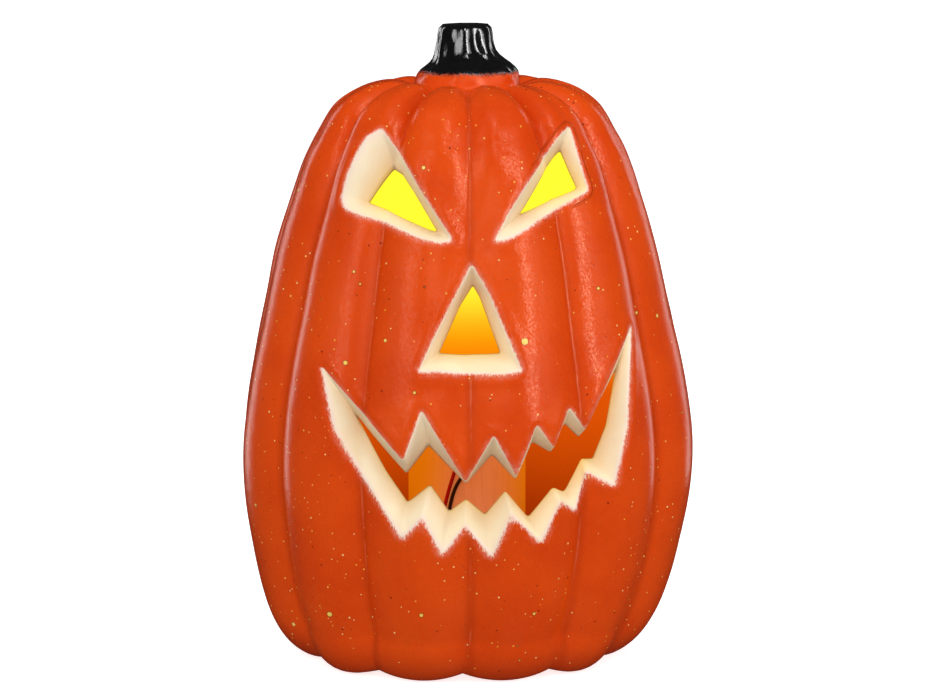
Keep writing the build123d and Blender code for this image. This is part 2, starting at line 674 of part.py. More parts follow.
# ---------------------------------------------------------------- lamp board
with BuildPart() as led_board:
    with BuildSketch(Plane.XY.offset(BOARD_BOTTOM)):
        Circle(BOARD_RADIUS)
        with Locations(*BOARD_SCREWS):
            Circle(SMALL_HOLE, mode=Mode.SUBTRACT)
    extrude(amount=BOARD_THICKNESS)
save(led_board.part, "led_board")
save(pan_screws(BOARD_SCREWS, BOARD_TOP, POST_TOP - 3, SMALL_SHANK, 1.8, 1.2), "led_board_screws")

with BuildPart() as leds:
    with BuildSketch(Plane.XY.offset(BOARD_TOP)):
        with Locations(*LED_POINTS):
            Circle(LED_RADIUS + 0.4)
    extrude(amount=1.0)
    with BuildSketch(Plane.XY.offset(BOARD_TOP)):
        with Locations(*LED_POINTS):
            Circle(LED_RADIUS)
    extrude(amount=LED_HEIGHT)
    fillet(leds.edges().group_by(Axis.Z)[-1], radius=LED_RADIUS - 0.05)
save(leds.part, "leds")

# ---------------------------------------------------------------- timer board
with BuildPart() as timer_board:
    with BuildSketch(Plane.XY.offset(TIMER_BOTTOM)):
        RectangleRounded(TIMER_X, TIMER_Y, 1.5)
        with Locations(*TIMER_SCREWS):
            Circle(SMALL_HOLE, mode=Mode.SUBTRACT)
    extrude(amount=BOARD_THICKNESS)
save(timer_board.part, "timer_board")
save(pan_screws(TIMER_SCREWS, TIMER_TOP, TIMER_BOTTOM - 3, SMALL_SHANK, 1.8, 1.2), "timer_board_screws")

with BuildPart() as timer_chip:
    with BuildSketch(Plane.XY.offset(TIMER_TOP + 0.3)):
        Rectangle(9, 4)
    extrude(amount=1.6)
    with BuildSketch(Plane.XY.offset(TIMER_TOP)):
        with Locations(*[(-3.75 + 1.25 * i, side * 2.5) for i in range(7) for side in (-1, 1)]):
            Rectangle(0.5, 1.2)
    extrude(amount=0.9)
save(timer_chip.part, "timer_chip")

with BuildPart() as capacitor:
    with BuildSketch(Plane.XY.offset(TIMER_TOP)):
        with Locations((10.5, -7)):
            Circle(3.2)
    extrude(amount=7.5)
    fillet(capacitor.edges().group_by(Axis.Z)[-1], radius=0.5)
save(capacitor.part, "capacitor")

with BuildPart() as resistors:
    for x in (-4, 0, 4):
        with BuildSketch(Plane.XZ.offset(-4.6)):
            with Locations((x, TIMER_TOP + 1.3)):
                Circle(1.1)
        extrude(amount=-5)
        with BuildSketch(Plane.XY.offset(TIMER_TOP)):
            with Locations((x, 4.2), (x, 10)):
                Rectangle(0.5, 0.5)
        extrude(amount=1.55)
        with BuildSketch(Plane.XY.offset(TIMER_TOP + 1.05)):
            with Locations((x, 7.1)):
                Rectangle(0.5, 6.3)
        extrude(amount=0.5)
save(resistors.part, "resistors")

with BuildPart() as crystal:
    with BuildSketch(Plane.XY.offset(TIMER_TOP)):
        with Locations((-9, 6.5)):
            SlotOverall(7, 3.4)
    extrude(amount=3.6)
    fillet(crystal.edges().group_by(Axis.Z)[-1], radius=0.4)
save(crystal.part, "crystal")

# ---------------------------------------------------------------- wires
def along_post(*stops):
    """Points on a wire's run up the outside of the post, from (bearing, height, slack) triples."""
    return [(*at_bearing(WIRE_RUN_RADIUS + slack, bearing), height) for bearing, height, slack in stops]


def over_edge(bearing):
    """Points that take a wire over the top edge of the post and under the lamp board."""
    top = POST_TOP + WIRE_RADIUS
    turn = [(30.1, -0.6), (29.3, 0.7), (27.6, 1.0), (24, 0.8), (21, 0.7), (18, 0.7)]
    return [(*at_bearing(radius, bearing), top + rise) for radius, rise in turn]


def battery_lead(turn):
    """The lead from an outer contact tab, round the seat and through the post to the timer board."""
    points = [(35, -15, 13.6), (36.4, -15.6, 18), (37.2, -15.8, 24), (33, -14, 29.6), (25, -10.6, 29.8)]
    points += [(16, -6.8, 28.6), (13.6, -1.5, TIMER_TOP + WIRE_RADIUS + 0.05)]
    return strand([(turn * x, turn * y, z) for x, y, z in points])


with BuildPart() as red_wires:
    add(battery_lead(1))
    add(
        strand(
            [(-7, -9, 27.7), (-9.5, -16, 28.6), (-13.2, -25, 30.2), (-15.6, -29.2, 35)]
            + along_post((-26, 50, 3.4), (-21.5, 75, 0.2), (-13, 91, 0), (-3, 105, 0), (4, 115, 0))
            + over_edge(4)
        )
    )
save(red_wires.part, "red_wires")

with BuildPart() as black_wires:
    add(battery_lead(-1))
    add(
        strand(
            [(-2.5, -9.5, 27.7), (-4.6, -16, 28.6), (-8.6, -26, 30.2), (-11, -31, 35)]
            + along_post((-19, 50, 3.4), (-16.5, 75, 0.2), (-7.5, 88, 0), (4, 94.5, 0), (15, 99.5, 0), (28, 115, 0))
            + over_edge(28)
        )
    )
save(black_wires.part, "black_wires")
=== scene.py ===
import json
import math

import bpy
import numpy as np
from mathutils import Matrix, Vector, geometry


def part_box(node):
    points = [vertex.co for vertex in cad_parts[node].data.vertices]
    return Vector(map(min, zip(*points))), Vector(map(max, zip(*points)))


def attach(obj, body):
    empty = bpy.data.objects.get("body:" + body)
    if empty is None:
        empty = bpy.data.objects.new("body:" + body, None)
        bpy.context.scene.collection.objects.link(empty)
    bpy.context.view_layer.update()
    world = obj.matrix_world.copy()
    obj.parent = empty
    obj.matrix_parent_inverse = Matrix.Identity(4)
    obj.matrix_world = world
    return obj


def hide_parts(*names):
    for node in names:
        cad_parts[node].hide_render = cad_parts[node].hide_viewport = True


# Lengths in this script are millimetres until a mesh is written, which scales them to metres.
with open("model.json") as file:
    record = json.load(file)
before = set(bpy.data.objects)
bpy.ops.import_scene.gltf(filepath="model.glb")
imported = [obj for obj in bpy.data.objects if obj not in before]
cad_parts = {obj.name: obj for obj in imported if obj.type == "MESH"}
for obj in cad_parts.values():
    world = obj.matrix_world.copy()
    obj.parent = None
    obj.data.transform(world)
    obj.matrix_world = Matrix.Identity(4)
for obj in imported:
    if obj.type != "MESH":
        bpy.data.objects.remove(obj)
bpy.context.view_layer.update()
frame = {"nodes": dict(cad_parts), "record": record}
MM = 0.001


def mesh_object(name, vertices, polygons, floats=None):
    """A mesh object from vertices in millimetres, with named float attributes on its points."""
    mesh = bpy.data.meshes.new(name)
    mesh.from_pydata((np.array(vertices) * MM).tolist(), [], [tuple(map(int, f)) for f in polygons])
    for key, values in (floats or {}).items():
        attribute = mesh.attributes.new(key, "FLOAT", "POINT")
        attribute.data.foreach_set("value", np.asarray(values, np.float32))
    mesh.validate()
    mesh.shade_smooth()
    obj = bpy.data.objects.new(name, mesh)
    bpy.context.scene.collection.objects.link(obj)
    return obj


def applied(obj):
    """Replaces obj's mesh by the result of its modifiers."""
    shape = bpy.data.meshes.new_from_object(obj.evaluated_get(bpy.context.evaluated_depsgraph_get()))
    obj.modifiers.clear()
    obj.data = shape


# ------------------------------------------------------------------ the shell's surface
# Crest line of a lobe, from the rim of the base opening round to the collar and up the stem:
# radius, height, share of the lobing, share of the stem's flutes.
MERIDIAN = [
    (43.2, 5.0, 0, 0),
    (48.0, 5.0, 0, 0),
    (53.0, 5.0, 0, 0),
    (54.1, 4.2, 0, 0),
    (54.2, 1.4, 0, 0),
    (55.0, 0.2, 0.05, 0),
    (58.0, 0.0, 0.3, 0),
    (68.0, 0.0, 1, 0),
    (77.5, 1.8, 1, 0),
    (87.0, 8.5, 1, 0),
    (95.0, 20.0, 1, 0),
    (102.0, 38.0, 1, 0),
    (107.2, 62.0, 1, 0),
    (110.5, 90.0, 1, 0),
    (110.5, 108.0, 1, 0),
    (108.5, 128.0, 1, 0),
    (104.5, 150.0, 1, 0),
    (99.0, 173.0, 1, 0),
    (93.5, 197.0, 1, 0),
    (86.5, 220.0, 1, 0),
    (78.5, 243.0, 1, 0),
    (72.5, 254.5, 1, 0),
    (65.0, 266.5, 1, 0),
    (53.0, 274.5, 1, 0),
    (39.0, 278.0, 0.95, 0),
    (31.0, 277.0, 0.6, 0),
    (26.2, 274.8, 0.1, 0),
    (25.4, 276.5, 0, 0.1),
    (25.0, 279.5, 0, 0.3),
    (23.8, 282.3, 0, 0.7),
    (20.8, 285.2, 0, 1),
    (17.5, 288.2, 0, 1),
    (15.0, 291.5, 0, 1),
    (13.4, 296.5, 0, 1),
    (12.8, 301.0, 0, 0.9),
    (12.0, 303.6, 0, 0.7),
    (10.3, 304.9, 0, 0.4),
    (5.0, 304.6, 0, 0.1),
    (0.4, 304.4, 0, 0),
]
# Bearings of the grooves in degrees, from the back's left round to the back's right; 0 is the front.
GROOVES = np.array([-180, -150, -120, -88, -58, -29, 0, 30, 58, 89, 120, 150, 180.0])
GROOVE_SHARE = np.array([1, 1, 1, 1.15, 1.1, 1.15, 0.65, 1.15, 1.1, 1.15, 1, 1, 1])
GROOVE_DEPTH = ([0, 20, 60, 110, 200, 240, 262, 280], [3.6, 7, 6.4, 5.7, 5.5, 6, 7, 7])  # heights, depths
LOBE_COLUMNS = 22
ROW_STEP = 2.6
# The mould left a fine seam in each groove; the ragged ones at the sides are its parting line.
SEAM_SHARE = 0.010  # half width of a seam, as a share of a lobe
SEAM_HEIGHT = np.array([0.2, 0.2, 0.2, 0.9, 0.2, 0.2, 0.25, 0.25, 0.2, 0.8, 0.2, 0.2, 0.2])
RAGGED_FROM = 0.6  # seams higher than this are ragged
LEAN = -3.5  # sideways shift of the lobes at the ground, fading out at LEAN_TOP
LEAN_TOP = 110.0
FRONT_FOOT = 9.0  # the lobes in front stand this much further out at the ground, fading at FOOT_TOP
FOOT_TOP = 20.0
FLUTE_SHARE = 0.085  # depth of the stem's flutes, as a share of its radius
STEM_BULGE = 1.8  # sideways swelling of the stem above the collar
STEM_BULGE_AT = 285
STEM_BULGE_SPREAD = 5
STEM_LEAN = 0.85  # the stem above the bulge stands this far to the left
STEM_TILT = 0.02  # slope of the stem's cut top, from left up to right
STEM_TOP_LIFT = 0.5


def through(points, steps=24):
    """A smooth curve through the points (centripetal Catmull-Rom); extra columns ride along."""
    p = np.array(points, float)
    p = np.vstack([2 * p[0] - p[1], p, 2 * p[-1] - p[-2]])
    out = []
    for i in range(1, len(p) - 2):
        p0, p1, p2, p3 = p[i - 1 : i + 3]
        d = [max(np.linalg.norm((b - a)[:2]), 1e-6) ** 0.5 for a, b in ((p0, p1), (p1, p2), (p2, p3))]
        m1 = p2 - p1 + d[1] * ((p1 - p0) / d[0] - (p2 - p0) / (d[0] + d[1]))
        m2 = p2 - p1 + d[1] * ((p3 - p2) / d[2] - (p3 - p1) / (d[1] + d[2]))
        t = np.linspace(0, 1, steps, endpoint=False)[:, None]
        out.append(
            (2 * t**3 - 3 * t**2 + 1) * p1
            + (t**3 - 2 * t**2 + t) * m1
            + (3 * t**2 - 2 * t**3) * p2
            + (t**3 - t**2) * m2
        )
    return np.vstack(out + [p[-2:-1]])


CURVE = through(MERIDIAN)
ARC = np.r_[0, np.cumsum(np.linalg.norm(np.diff(CURVE[:, :2], axis=0), axis=1))]
TANGENT = np.gradient(CURVE[:, :2], axis=0)
TANGENT /= np.linalg.norm(TANGENT, axis=1)[:, None]


def smooth(x, low, high):
    """0 below low, 1 above high, eased between."""
    t = np.clip((x - low) / (high - low), 0, 1)
    return t * t * (3 - 2 * t)


def across_lobe(theta):
    """-1 at a lobe's left groove, 0 on its crest, 1 at its right groove."""
    i = np.clip(np.searchsorted(GROOVES, theta, side="right") - 1, 0, len(GROOVES) - 2)
    low, high = GROOVES[i], GROOVES[i + 1]
    return (theta - (low + high) / 2) / ((high - low) / 2)


def lobe_swell(theta, z):
    """Unevenness of the lobes, from slow waves to small dents, so that no two are quite alike."""
    t = np.radians(theta)
    slow = 0.7 * np.sin(2 * t + z / 46.0 + 0.6) * np.sin(z / 31.0 + 1.3)
    slow = slow + 0.45 * np.sin(5 * t - z / 23.0)
    folds = np.sin(27 * t + 1.6 * np.sin(z / 33.0) + 0.9) * (0.5 + 0.5 * np.sin(z / 27.0 + 5 * t))
    dents = np.sin(17 * t + z / 13.0) * np.sin(z / 9.5 - 8 * t + 2.0)
    crown = np.sin(31 * t + z / 6.5) * np.sin(z / 5.0 - 6 * t) * smooth(z, 205, 245)
    return slow + 0.09 * folds + 0.13 * dents + 0.14 * crown


def surface(theta, arc):
    """The shell's outer surface at a bearing from the front and an arc length up the crest line.

    The last two numbers in each smooth() are where an effect fades in: heights, radii or arc lengths.
    """
    theta, arc = np.broadcast_arrays(np.asarray(theta, float), np.asarray(arc, float))
    t = np.radians(theta)
    u = across_lobe(theta)
    radius, z, lobing, flutes = (np.interp(arc, ARC, CURVE[:, k]) for k in range(4))
    normal_r = np.interp(arc, ARC, TANGENT[:, 1])
    normal_z = -np.interp(arc, ARC, TANGENT[:, 0])
    # How far the surface lies inside the crest line: the groove, less its seam and the lobe's swelling.
    nearest = np.argmin(np.abs(theta[..., None] - GROOVES), axis=-1)
    share = 1 + (GROOVE_SHARE[nearest] - 1) * smooth(z, 10, 50)
    profile = np.abs(u) ** (2 + 1.1 * smooth(z, 215, 262))
    depth = np.interp(z, *GROOVE_DEPTH) * profile * lobing * (1 + (share - 1) * u * u)
    ragged = 0.55 + 0.3 * np.sin(z / 3.1 + np.sin(z / 7.7) * 2) + 0.15 * np.sin(z * 0.83)
    seam = SEAM_HEIGHT[nearest] * np.where(SEAM_HEIGHT[nearest] > RAGGED_FROM, ragged, 1.0)
    on_seam = np.clip(1 - (1 - np.abs(u)) / (2 * SEAM_SHARE), 0, 1)
    depth = depth - seam * on_seam * lobing * smooth(z, 8, 30)
    depth = depth - lobe_swell(theta, z) * (1 - np.abs(u) ** 2) * smooth(arc, 60, 110) * lobing
    r = radius - depth * normal_r
    h = z - depth * normal_z
    ridges = 0.5 * np.cos(7 * t + 0.4) + 0.3 * np.cos(4 * t + 1.9) + 0.2 * np.cos(11 * t + z / 6.0)
    r = r * (1 + FLUTE_SHARE * flutes * ridges)
    low = np.clip(1 - z / FOOT_TOP, 0, 1) * smooth(radius, 60, 74)
    r = r + FRONT_FOOT * low * smooth(np.cos(t), 0.4, 0.85)
    x = r * np.sin(t) + STEM_BULGE * flutes * np.exp(-(((z - STEM_BULGE_AT) / STEM_BULGE_SPREAD) ** 2))
    x = x - STEM_LEAN * smooth(z, 286, 293) * smooth(radius, 0, 9) * np.clip(flutes * 3, 0, 1)
    x = x + LEAN * np.clip((LEAN_TOP - z) / LEAN_TOP, 0, 1) ** 2 * smooth(radius, 58, 74)
    h = h + (STEM_TILT * x + STEM_TOP_LIFT) * smooth(z, 298, 303) * flutes
    return np.stack([x, -r * np.cos(t), np.maximum(h, 0.0)], -1)


def bearing_and_arc(x, z):
    """The surface's parameters where the front view shows x and z, by Newton's method."""
    # The first guess uses the crest line between the foot and the crown, where it only rises.
    start = np.argmax(CURVE[:, 1] >= 20)
    stop = np.argmax(CURVE[:, 1] > 276)
    arc = np.interp(z, CURVE[start:stop, 1], ARC[start:stop])
    theta = np.degrees(np.arcsin(np.clip(x / np.interp(arc, ARC, CURVE[:, 0]), -0.97, 0.97)))
    step = 0.05
    damping = 0.8
    for _ in range(25):
        here = surface(theta, arc)
        by_theta = (surface(theta + step, arc) - here) / step
        by_arc = (surface(theta, arc + step) - here) / step
        ex, ez = x - here[..., 0], z - here[..., 2]
        a, b, c, d = by_theta[..., 0], by_arc[..., 0], by_theta[..., 2], by_arc[..., 2]
        det = a * d - b * c
        theta = theta + damping * (d * ex - b * ez) / det
        arc = arc + damping * (a * ez - c * ex) / det
    return theta, arc


# ------------------------------------------------------------------ the face
# Pairs of points in the front view, x and z: on the lip, and on the edge of the opening behind it.
RECESS_DEPTH = 12.0
LEFT_EYE = [
    ((-41, 260), (-34.8, 239.8)),
    ((-30.5, 245.7), (-31, 238)),
    ((-23.5, 233.7), (-25.7, 230.3)),
    ((-7.8, 210.4), (-15.2, 213)),
    ((-13.8, 209), (-18, 213.5)),
    ((-23.6, 211.2), (-24, 215.8)),
    ((-31.1, 214.1), (-31, 218.5)),
    ((-39.3, 217.1), (-38, 221.2)),
    ((-51.4, 220.1), (-44, 223.5)),
    ((-58.6, 222.8), (-46.5, 224.4)),
    ((-60.2, 227), (-46, 225.3)),
    ((-57.3, 238.3), (-43, 229.8)),
    ((-53, 247.9), (-40, 233.9)),
    ((-48, 256), (-37, 237.6)),
]
RIGHT_EYE = [
    ((47.2, 260.5), (42.8, 248)),
    ((49.9, 251.5), (44.6, 244)),
    ((52.5, 241.8), (47.2, 237.8)),
    ((56.1, 230.8), (50.6, 230.6)),
    ((45.5, 225.5), (43, 227.6)),
    ((37.6, 221.3), (36.5, 225.3)),
    ((31.6, 218.7), (31.5, 223.5)),
    ((27.7, 215.9), (28.5, 222.4)),
    ((21, 212.1), (25.8, 221.5)),
    ((16.1, 210.3), (24.4, 221)),
    ((11, 209.9), (23.4, 220.6)),
    ((17.3, 221.8), (25.8, 224)),
    ((23.9, 231.8), (29.4, 229.6)),
    ((33.6, 244.7), (35.5, 239.1)),
    ((42, 256), (40, 245.4)),
]
NOSE = [
    ((0.6, 199.8), (1.3, 188.2)),
    ((8.5, 186.9), (4.4, 183)),
    ((19.5, 161.4), (11.5, 163.8)),
    ((24, 151), (13.8, 157.7)),
    ((13.7, 149.7), (8, 157.3)),
    ((-4.5, 150), (-3, 156.9)),
    ((-15.2, 151.1), (-10, 157.4)),
    ((-24.6, 150.6), (-14.4, 157.8)),
    ((-18.1, 164.5), (-11, 165)),
    ((-10.4, 179.2), (-4.6, 179)),
]
MOUTH = [
    ((-69.5, 151), (-52.8, 126.4)),
    ((-31.4, 110.1), (-29.7, 102)),
    ((-23, 134.2), (-19.5, 115.6)),
    ((-2.5, 100.2), (-2.1, 97.3)),
    ((10.6, 122.7), (9.9, 111.2)),
    ((20.9, 103.1), (20.8, 99.4)),
    ((30.5, 127.4), (28.5, 117)),
    ((38.5, 115.3), (37.3, 111.3)),
    ((45.9, 133.6), (43.7, 124.3)),
    ((53.6, 121.6), (51, 116.3)),
    ((76.2, 168), (68.3, 146.4)),
    ((73.6, 122.9), (63.6, 121.4)),
    ((67.3, 94.9), (57.4, 106.3)),
    ((53.4, 102.8), (52, 106.2)),
    ((48.8, 84), (43.7, 92.1)),
    ((41.6, 90.4), (38.2, 95)),
    ((32.7, 71), (26.7, 81.4)),
    ((18.7, 85.3), (16, 94.5)),
    ((9.8, 64.5), (6.7, 83)),
    ((-2.5, 79.9), (-2.1, 90.3)),
    ((-13.4, 66), (-10, 84.7)),
    ((-22.7, 84), (-18.6, 97.5)),
    ((-31.9, 73.3), (-29.1, 88.8)),
    ((-51.4, 103), (-39.3, 103.1)),
    ((-63.9, 123.1), (-47.6, 117.5)),
]
FEATURES = [LEFT_EYE, RIGHT_EYE, NOSE, MOUTH]
CORNER = 2.2  # how far from a corner its rounding starts
LONGEST_CUT = 0.35  # and at most this share of the side
OUTLINE_STEP = 1.5
RINGS = 9  # rings of faces from a lip to the opening behind it
RING_CROWDING = 1.35  # above 1, the rings lie closer together near the lip
LIP_SOFTNESS = 0.09
LIP_RIDGE = 0.6  # height of the soft ridge round each lip
LIP_RIDGE_AT = 3.2  # its distance from the lip
LIP_RIDGE_WIDTH = 1.8
FAR_AWAY = 99.0
SPILL_REACH = 12  # how far from a lip its direction still matters to the paint


def rounded(pairs):
    """Both outlines of a recess, sampled in step and with rounded corners; anticlockwise."""
    p = np.array(pairs, float)
    lip = p[:, 0]
    area = np.sum(lip[:, 0] * np.roll(lip[:, 1], -1) - np.roll(lip[:, 0], -1) * lip[:, 1])
    if area < 0:
        p = p[::-1]
    out = []
    for i, here in enumerate(p):
        before, after = p[i - 1], p[(i + 1) % len(p)]
        length = np.linalg.norm(after[0] - here[0])
        cut_in = min(CORNER / np.linalg.norm(before[0] - here[0]), LONGEST_CUT)
        cut_out = min(CORNER / length, LONGEST_CUT)
        enter = here + (before - here) * cut_in
        leave = here + (after - here) * cut_out
        for t in np.linspace(0, 1, 5):
            out.append((1 - t) ** 2 * enter + 2 * t * (1 - t) * here + t**2 * leave)
        pieces = max(2, int(round(length * (1 - 2 * cut_out) / OUTLINE_STEP)))
        stop = after + (here - after) * cut_out
        for k in range(1, pieces):
            out.append(leave + (stop - leave) * k / pieces)
    return np.array(out)


def inside(polygon, points):
    """Which points lie inside the closed polygon."""
    x, y = points[:, 0], points[:, 1]
    hit = np.zeros(len(points), bool)
    for (ax, ay), (bx, by) in zip(polygon, np.roll(polygon, -1, axis=0)):
        if ay != by:
            crosses = (ay > y) != (by > y)
            hit ^= crosses & (x < (bx - ax) * (y - ay) / (by - ay) + ax)
    return hit


def distance_to(polygon, points):
    """Distance from each point to the closed polygon's outline."""
    best = np.full(len(points), np.inf)
    for a, b in zip(polygon, np.roll(polygon, -1, axis=0)):
        along = b - a
        t = np.clip(((points - a) @ along) / max(along @ along, 1e-12), 0, 1)
        best = np.minimum(best, np.linalg.norm(points - (a + t[:, None] * along), axis=1))
    return best


def downward(outline):
    """How far the outer side of a closed anticlockwise outline faces down: 1 below it, -1 above it."""
    along = np.roll(outline, -1, axis=0) - np.roll(outline, 1, axis=0)
    return along[:, 0] / np.linalg.norm(along, axis=1)


# ------------------------------------------------------------------ the shell's mesh
# A plain grid of rows up the crest line and columns round it. Where the face's recesses are, patches take
# the place of the grid, and walls lead from the lips to the openings. All of it is laid out in a plane:
# bearing times PER_DEGREE across, arc length up.
PER_DEGREE = 1.7  # millimetres of the shell's width per degree, where the face is
LOBE_SHARES = np.r_[0, SEAM_SHARE, np.linspace(0, 1, LOBE_COLUMNS + 1)[1:-1], 1 - SEAM_SHARE]
COLUMNS = np.concatenate([low + (high - low) * LOBE_SHARES for low, high in zip(GROOVES, GROOVES[1:])])
ROWS = np.linspace(0, ARC[-1], int(ARC[-1] / ROW_STEP))
GRID = np.arange(len(ROWS) * len(COLUMNS)).reshape(len(ROWS), len(COLUMNS))
GRID_THETA, GRID_ARC = np.meshgrid(COLUMNS, ROWS)
PLANE = np.stack([GRID_THETA * PER_DEGREE, GRID_ARC], -1)
# Cells of the grid with a corner this near a lip give way to a patch, which drops the nearest corners.
GIVE_WAY = 1.6
DROPPED = 0.9


class Skin:
    """The growing mesh: places, faces, and what the paint has to know about each place."""

    def __init__(self):
        self.places = []
        self.faces = []
        self.values = {"lip": [], "feature": [], "wall": [], "spill": []}

    def add(self, places, **values):
        """Adds places and returns their numbers. A value that isn't given is 0."""
        first = len(self.places)
        self.places.extend(places)
        for key, column in self.values.items():
            column.extend(np.broadcast_to(values.get(key, 0), len(places)))
        return list(range(first, len(self.places)))


def lip_ring(outline):
    """A lip in the plane, with the nearest point moved onto each groove where the lip crosses it."""
    theta, arc = bearing_and_arc(outline[:, 0, 0], outline[:, 0, 1])
    for groove in GROOVES:
        for i in range(len(theta)):
            j = (i + 1) % len(theta)
            if (theta[i] - groove) * (theta[j] - groove) < 0:
                nearer = i if abs(theta[i] - groove) < abs(theta[j] - groove) else j
                theta[nearer] = groove
    return np.stack([theta * PER_DEGREE, arc], -1)


def add_grid(skin, outlines, rings):
    """Adds the grid. Returns which cells gave way and which places no patch may use."""
    near_lip = np.full(GRID.size, FAR_AWAY)
    feature = np.zeros(GRID.size)
    spill = np.zeros(GRID.size)  # 1 beside the lower edge of an opening, -1 beside its upper edge
    removed = np.zeros(GRID.shape, bool)
    dropped = np.zeros(GRID.shape, bool)
    flat = PLANE.reshape(-1, 2)
    for number, (outline, ring) in enumerate(zip(outlines, rings)):
        reach = distance_to(ring, flat)
        within = inside(ring, flat)
        closer = reach < np.abs(near_lip)
        near_lip = np.where(closer, np.where(within, -reach, reach), near_lip)
        feature = np.where(closer, number, feature)
        beside = np.flatnonzero(closer & (reach < SPILL_REACH))
        nearest = [np.argmin(np.hypot(*(ring - place).T)) for place in flat[beside]]
        spill[beside] = downward(outline[:, 0])[nearest]
        touched = (within | (reach < GIVE_WAY)).reshape(GRID.shape)
        touched |= np.roll(touched, -1, axis=1)
        removed[:-1] |= touched[:-1] | touched[1:]
        dropped |= (within | (reach < DROPPED)).reshape(GRID.shape)
    places = surface(GRID_THETA, GRID_ARC)
    skin.add(places.reshape(-1, 3), lip=near_lip, feature=feature, spill=spill)
    for i, j in np.argwhere(~removed[:-1]):
        k = (j + 1) % len(COLUMNS)
        skin.faces.append((GRID[i, j], GRID[i, k], GRID[i + 1, k], GRID[i + 1, j]))
    (apex,) = skin.add([np.mean(places[-1], axis=0)], lip=FAR_AWAY)
    for j in range(len(COLUMNS)):
        skin.faces.append((GRID[-1, j], GRID[-1, (j + 1) % len(COLUMNS)], apex))
    return removed, dropped


def patch_border(removed, dropped):
    """The grid's share of the patches: points in the plane, their numbers in the skin, and fixed edges."""
    points, numbers, edges = [], [], []
    known = {}
    cells = np.argwhere(removed)
    for i, j in cells:
        k = (j + 1) % len(COLUMNS)
        for a, b in ((i, j), (i, k), (i + 1, k), (i + 1, j)):
            if not dropped[a, b] and GRID[a, b] not in known:
                known[GRID[a, b]] = len(points)
                points.append(Vector(PLANE[a, b]))
                numbers.append(GRID[a, b])
    # Edges are fixed where a patch ends, and along the grooves, so that they stay sharp.
    at_groove = {int(np.argmin(np.abs(COLUMNS - g))) + side for g in GROOVES[1:-1] for side in (-1, 0, 1)}
    for i, j in cells:
        k = (j + 1) % len(COLUMNS)
        for a, b, wanted in (
            (GRID[i, j], GRID[i, k], i == 0 or not removed[i - 1, j]),
            (GRID[i + 1, j], GRID[i + 1, k], not removed[i + 1, j]),
            (GRID[i, j], GRID[i + 1, j], not removed[i, j - 1] or j in at_groove),
            (GRID[i, k], GRID[i + 1, k], not removed[i, k] or k in at_groove),
        ):
            if wanted and a in known and b in known:
                edges.append((known[a], known[b]))
    return points, numbers, edges


def add_patches(skin, outlines, rings, removed, dropped):
    """Joins the grid to the lips by a constrained triangulation. Returns each lip's place numbers."""
    points, numbers, edges = patch_border(removed, dropped)
    lips = []
    for number, (outline, ring) in enumerate(zip(outlines, rings)):
        places = surface(ring[:, 0] / PER_DEGREE, ring[:, 1])
        lip = skin.add(places, feature=number, spill=downward(outline[:, 0]))
        start = len(points)
        points.extend(Vector(place) for place in ring)
        edges.extend((start + n, start + (n + 1) % len(ring)) for n in range(len(ring)))
        numbers.extend(lip)
        lips.append(lip)
    corners, _, triangles, origins, _, _ = geometry.delaunay_2d_cdt(points, edges, [], 0, 1e-5)
    lookup = []
    for place, origin in zip(corners, origins):
        if origin:
            lookup.append(numbers[origin[0]])
        else:
            lookup.extend(skin.add([surface(place.x / PER_DEGREE, place.y)]))
    # Triangles outside the patches and across the openings are left out.
    middles = np.array([np.mean([corners[v] for v in triangle], axis=0) for triangle in triangles])
    row = np.clip(np.searchsorted(ROWS, middles[:, 1], side="right") - 1, 0, len(ROWS) - 2)
    column = np.searchsorted(COLUMNS, middles[:, 0] / PER_DEGREE, side="right") - 1
    keep = removed[row, column]
    for ring in rings:
        keep &= ~inside(ring, middles)
    for triangle, wanted in zip(triangles, keep):
        if wanted:
            a, b, c = (corners[v] for v in triangle)
            turn = (b.x - a.x) * (c.y - a.y) - (b.y - a.y) * (c.x - a.x)
            loop = [lookup[v] for v in triangle]
            skin.faces.append(tuple(loop if turn > 0 else loop[::-1]))
    return lips


def add_walls(skin, outlines, lips):
    """Adds the recess walls: from each lip to the opening behind it, as rings that turn in softly."""
    for number, (outline, lip) in enumerate(zip(outlines, lips)):
        width = np.linalg.norm(outline[:, 1] - outline[:, 0], axis=1)
        outer = lip
        for k in range(1, RINGS + 1):
            t = (k / RINGS) ** RING_CROWDING
            flat = outline[:, 0] * (1 - t) + outline[:, 1] * t
            places = surface(*bearing_and_arc(flat[:, 0], flat[:, 1]))
            soft = math.sqrt(t * t + LIP_SOFTNESS**2) - LIP_SOFTNESS
            places[:, 1] += RECESS_DEPTH * soft / (math.sqrt(1 + LIP_SOFTNESS**2) - LIP_SOFTNESS)
            inward = -(width + RECESS_DEPTH) * t
            inner = skin.add(places, lip=inward, feature=number, wall=t, spill=downward(outline[:, 0]))
            for n in range(len(lip)):
                m = (n + 1) % len(lip)
                skin.faces.append((outer[n], outer[m], inner[m], inner[n]))
            outer = inner


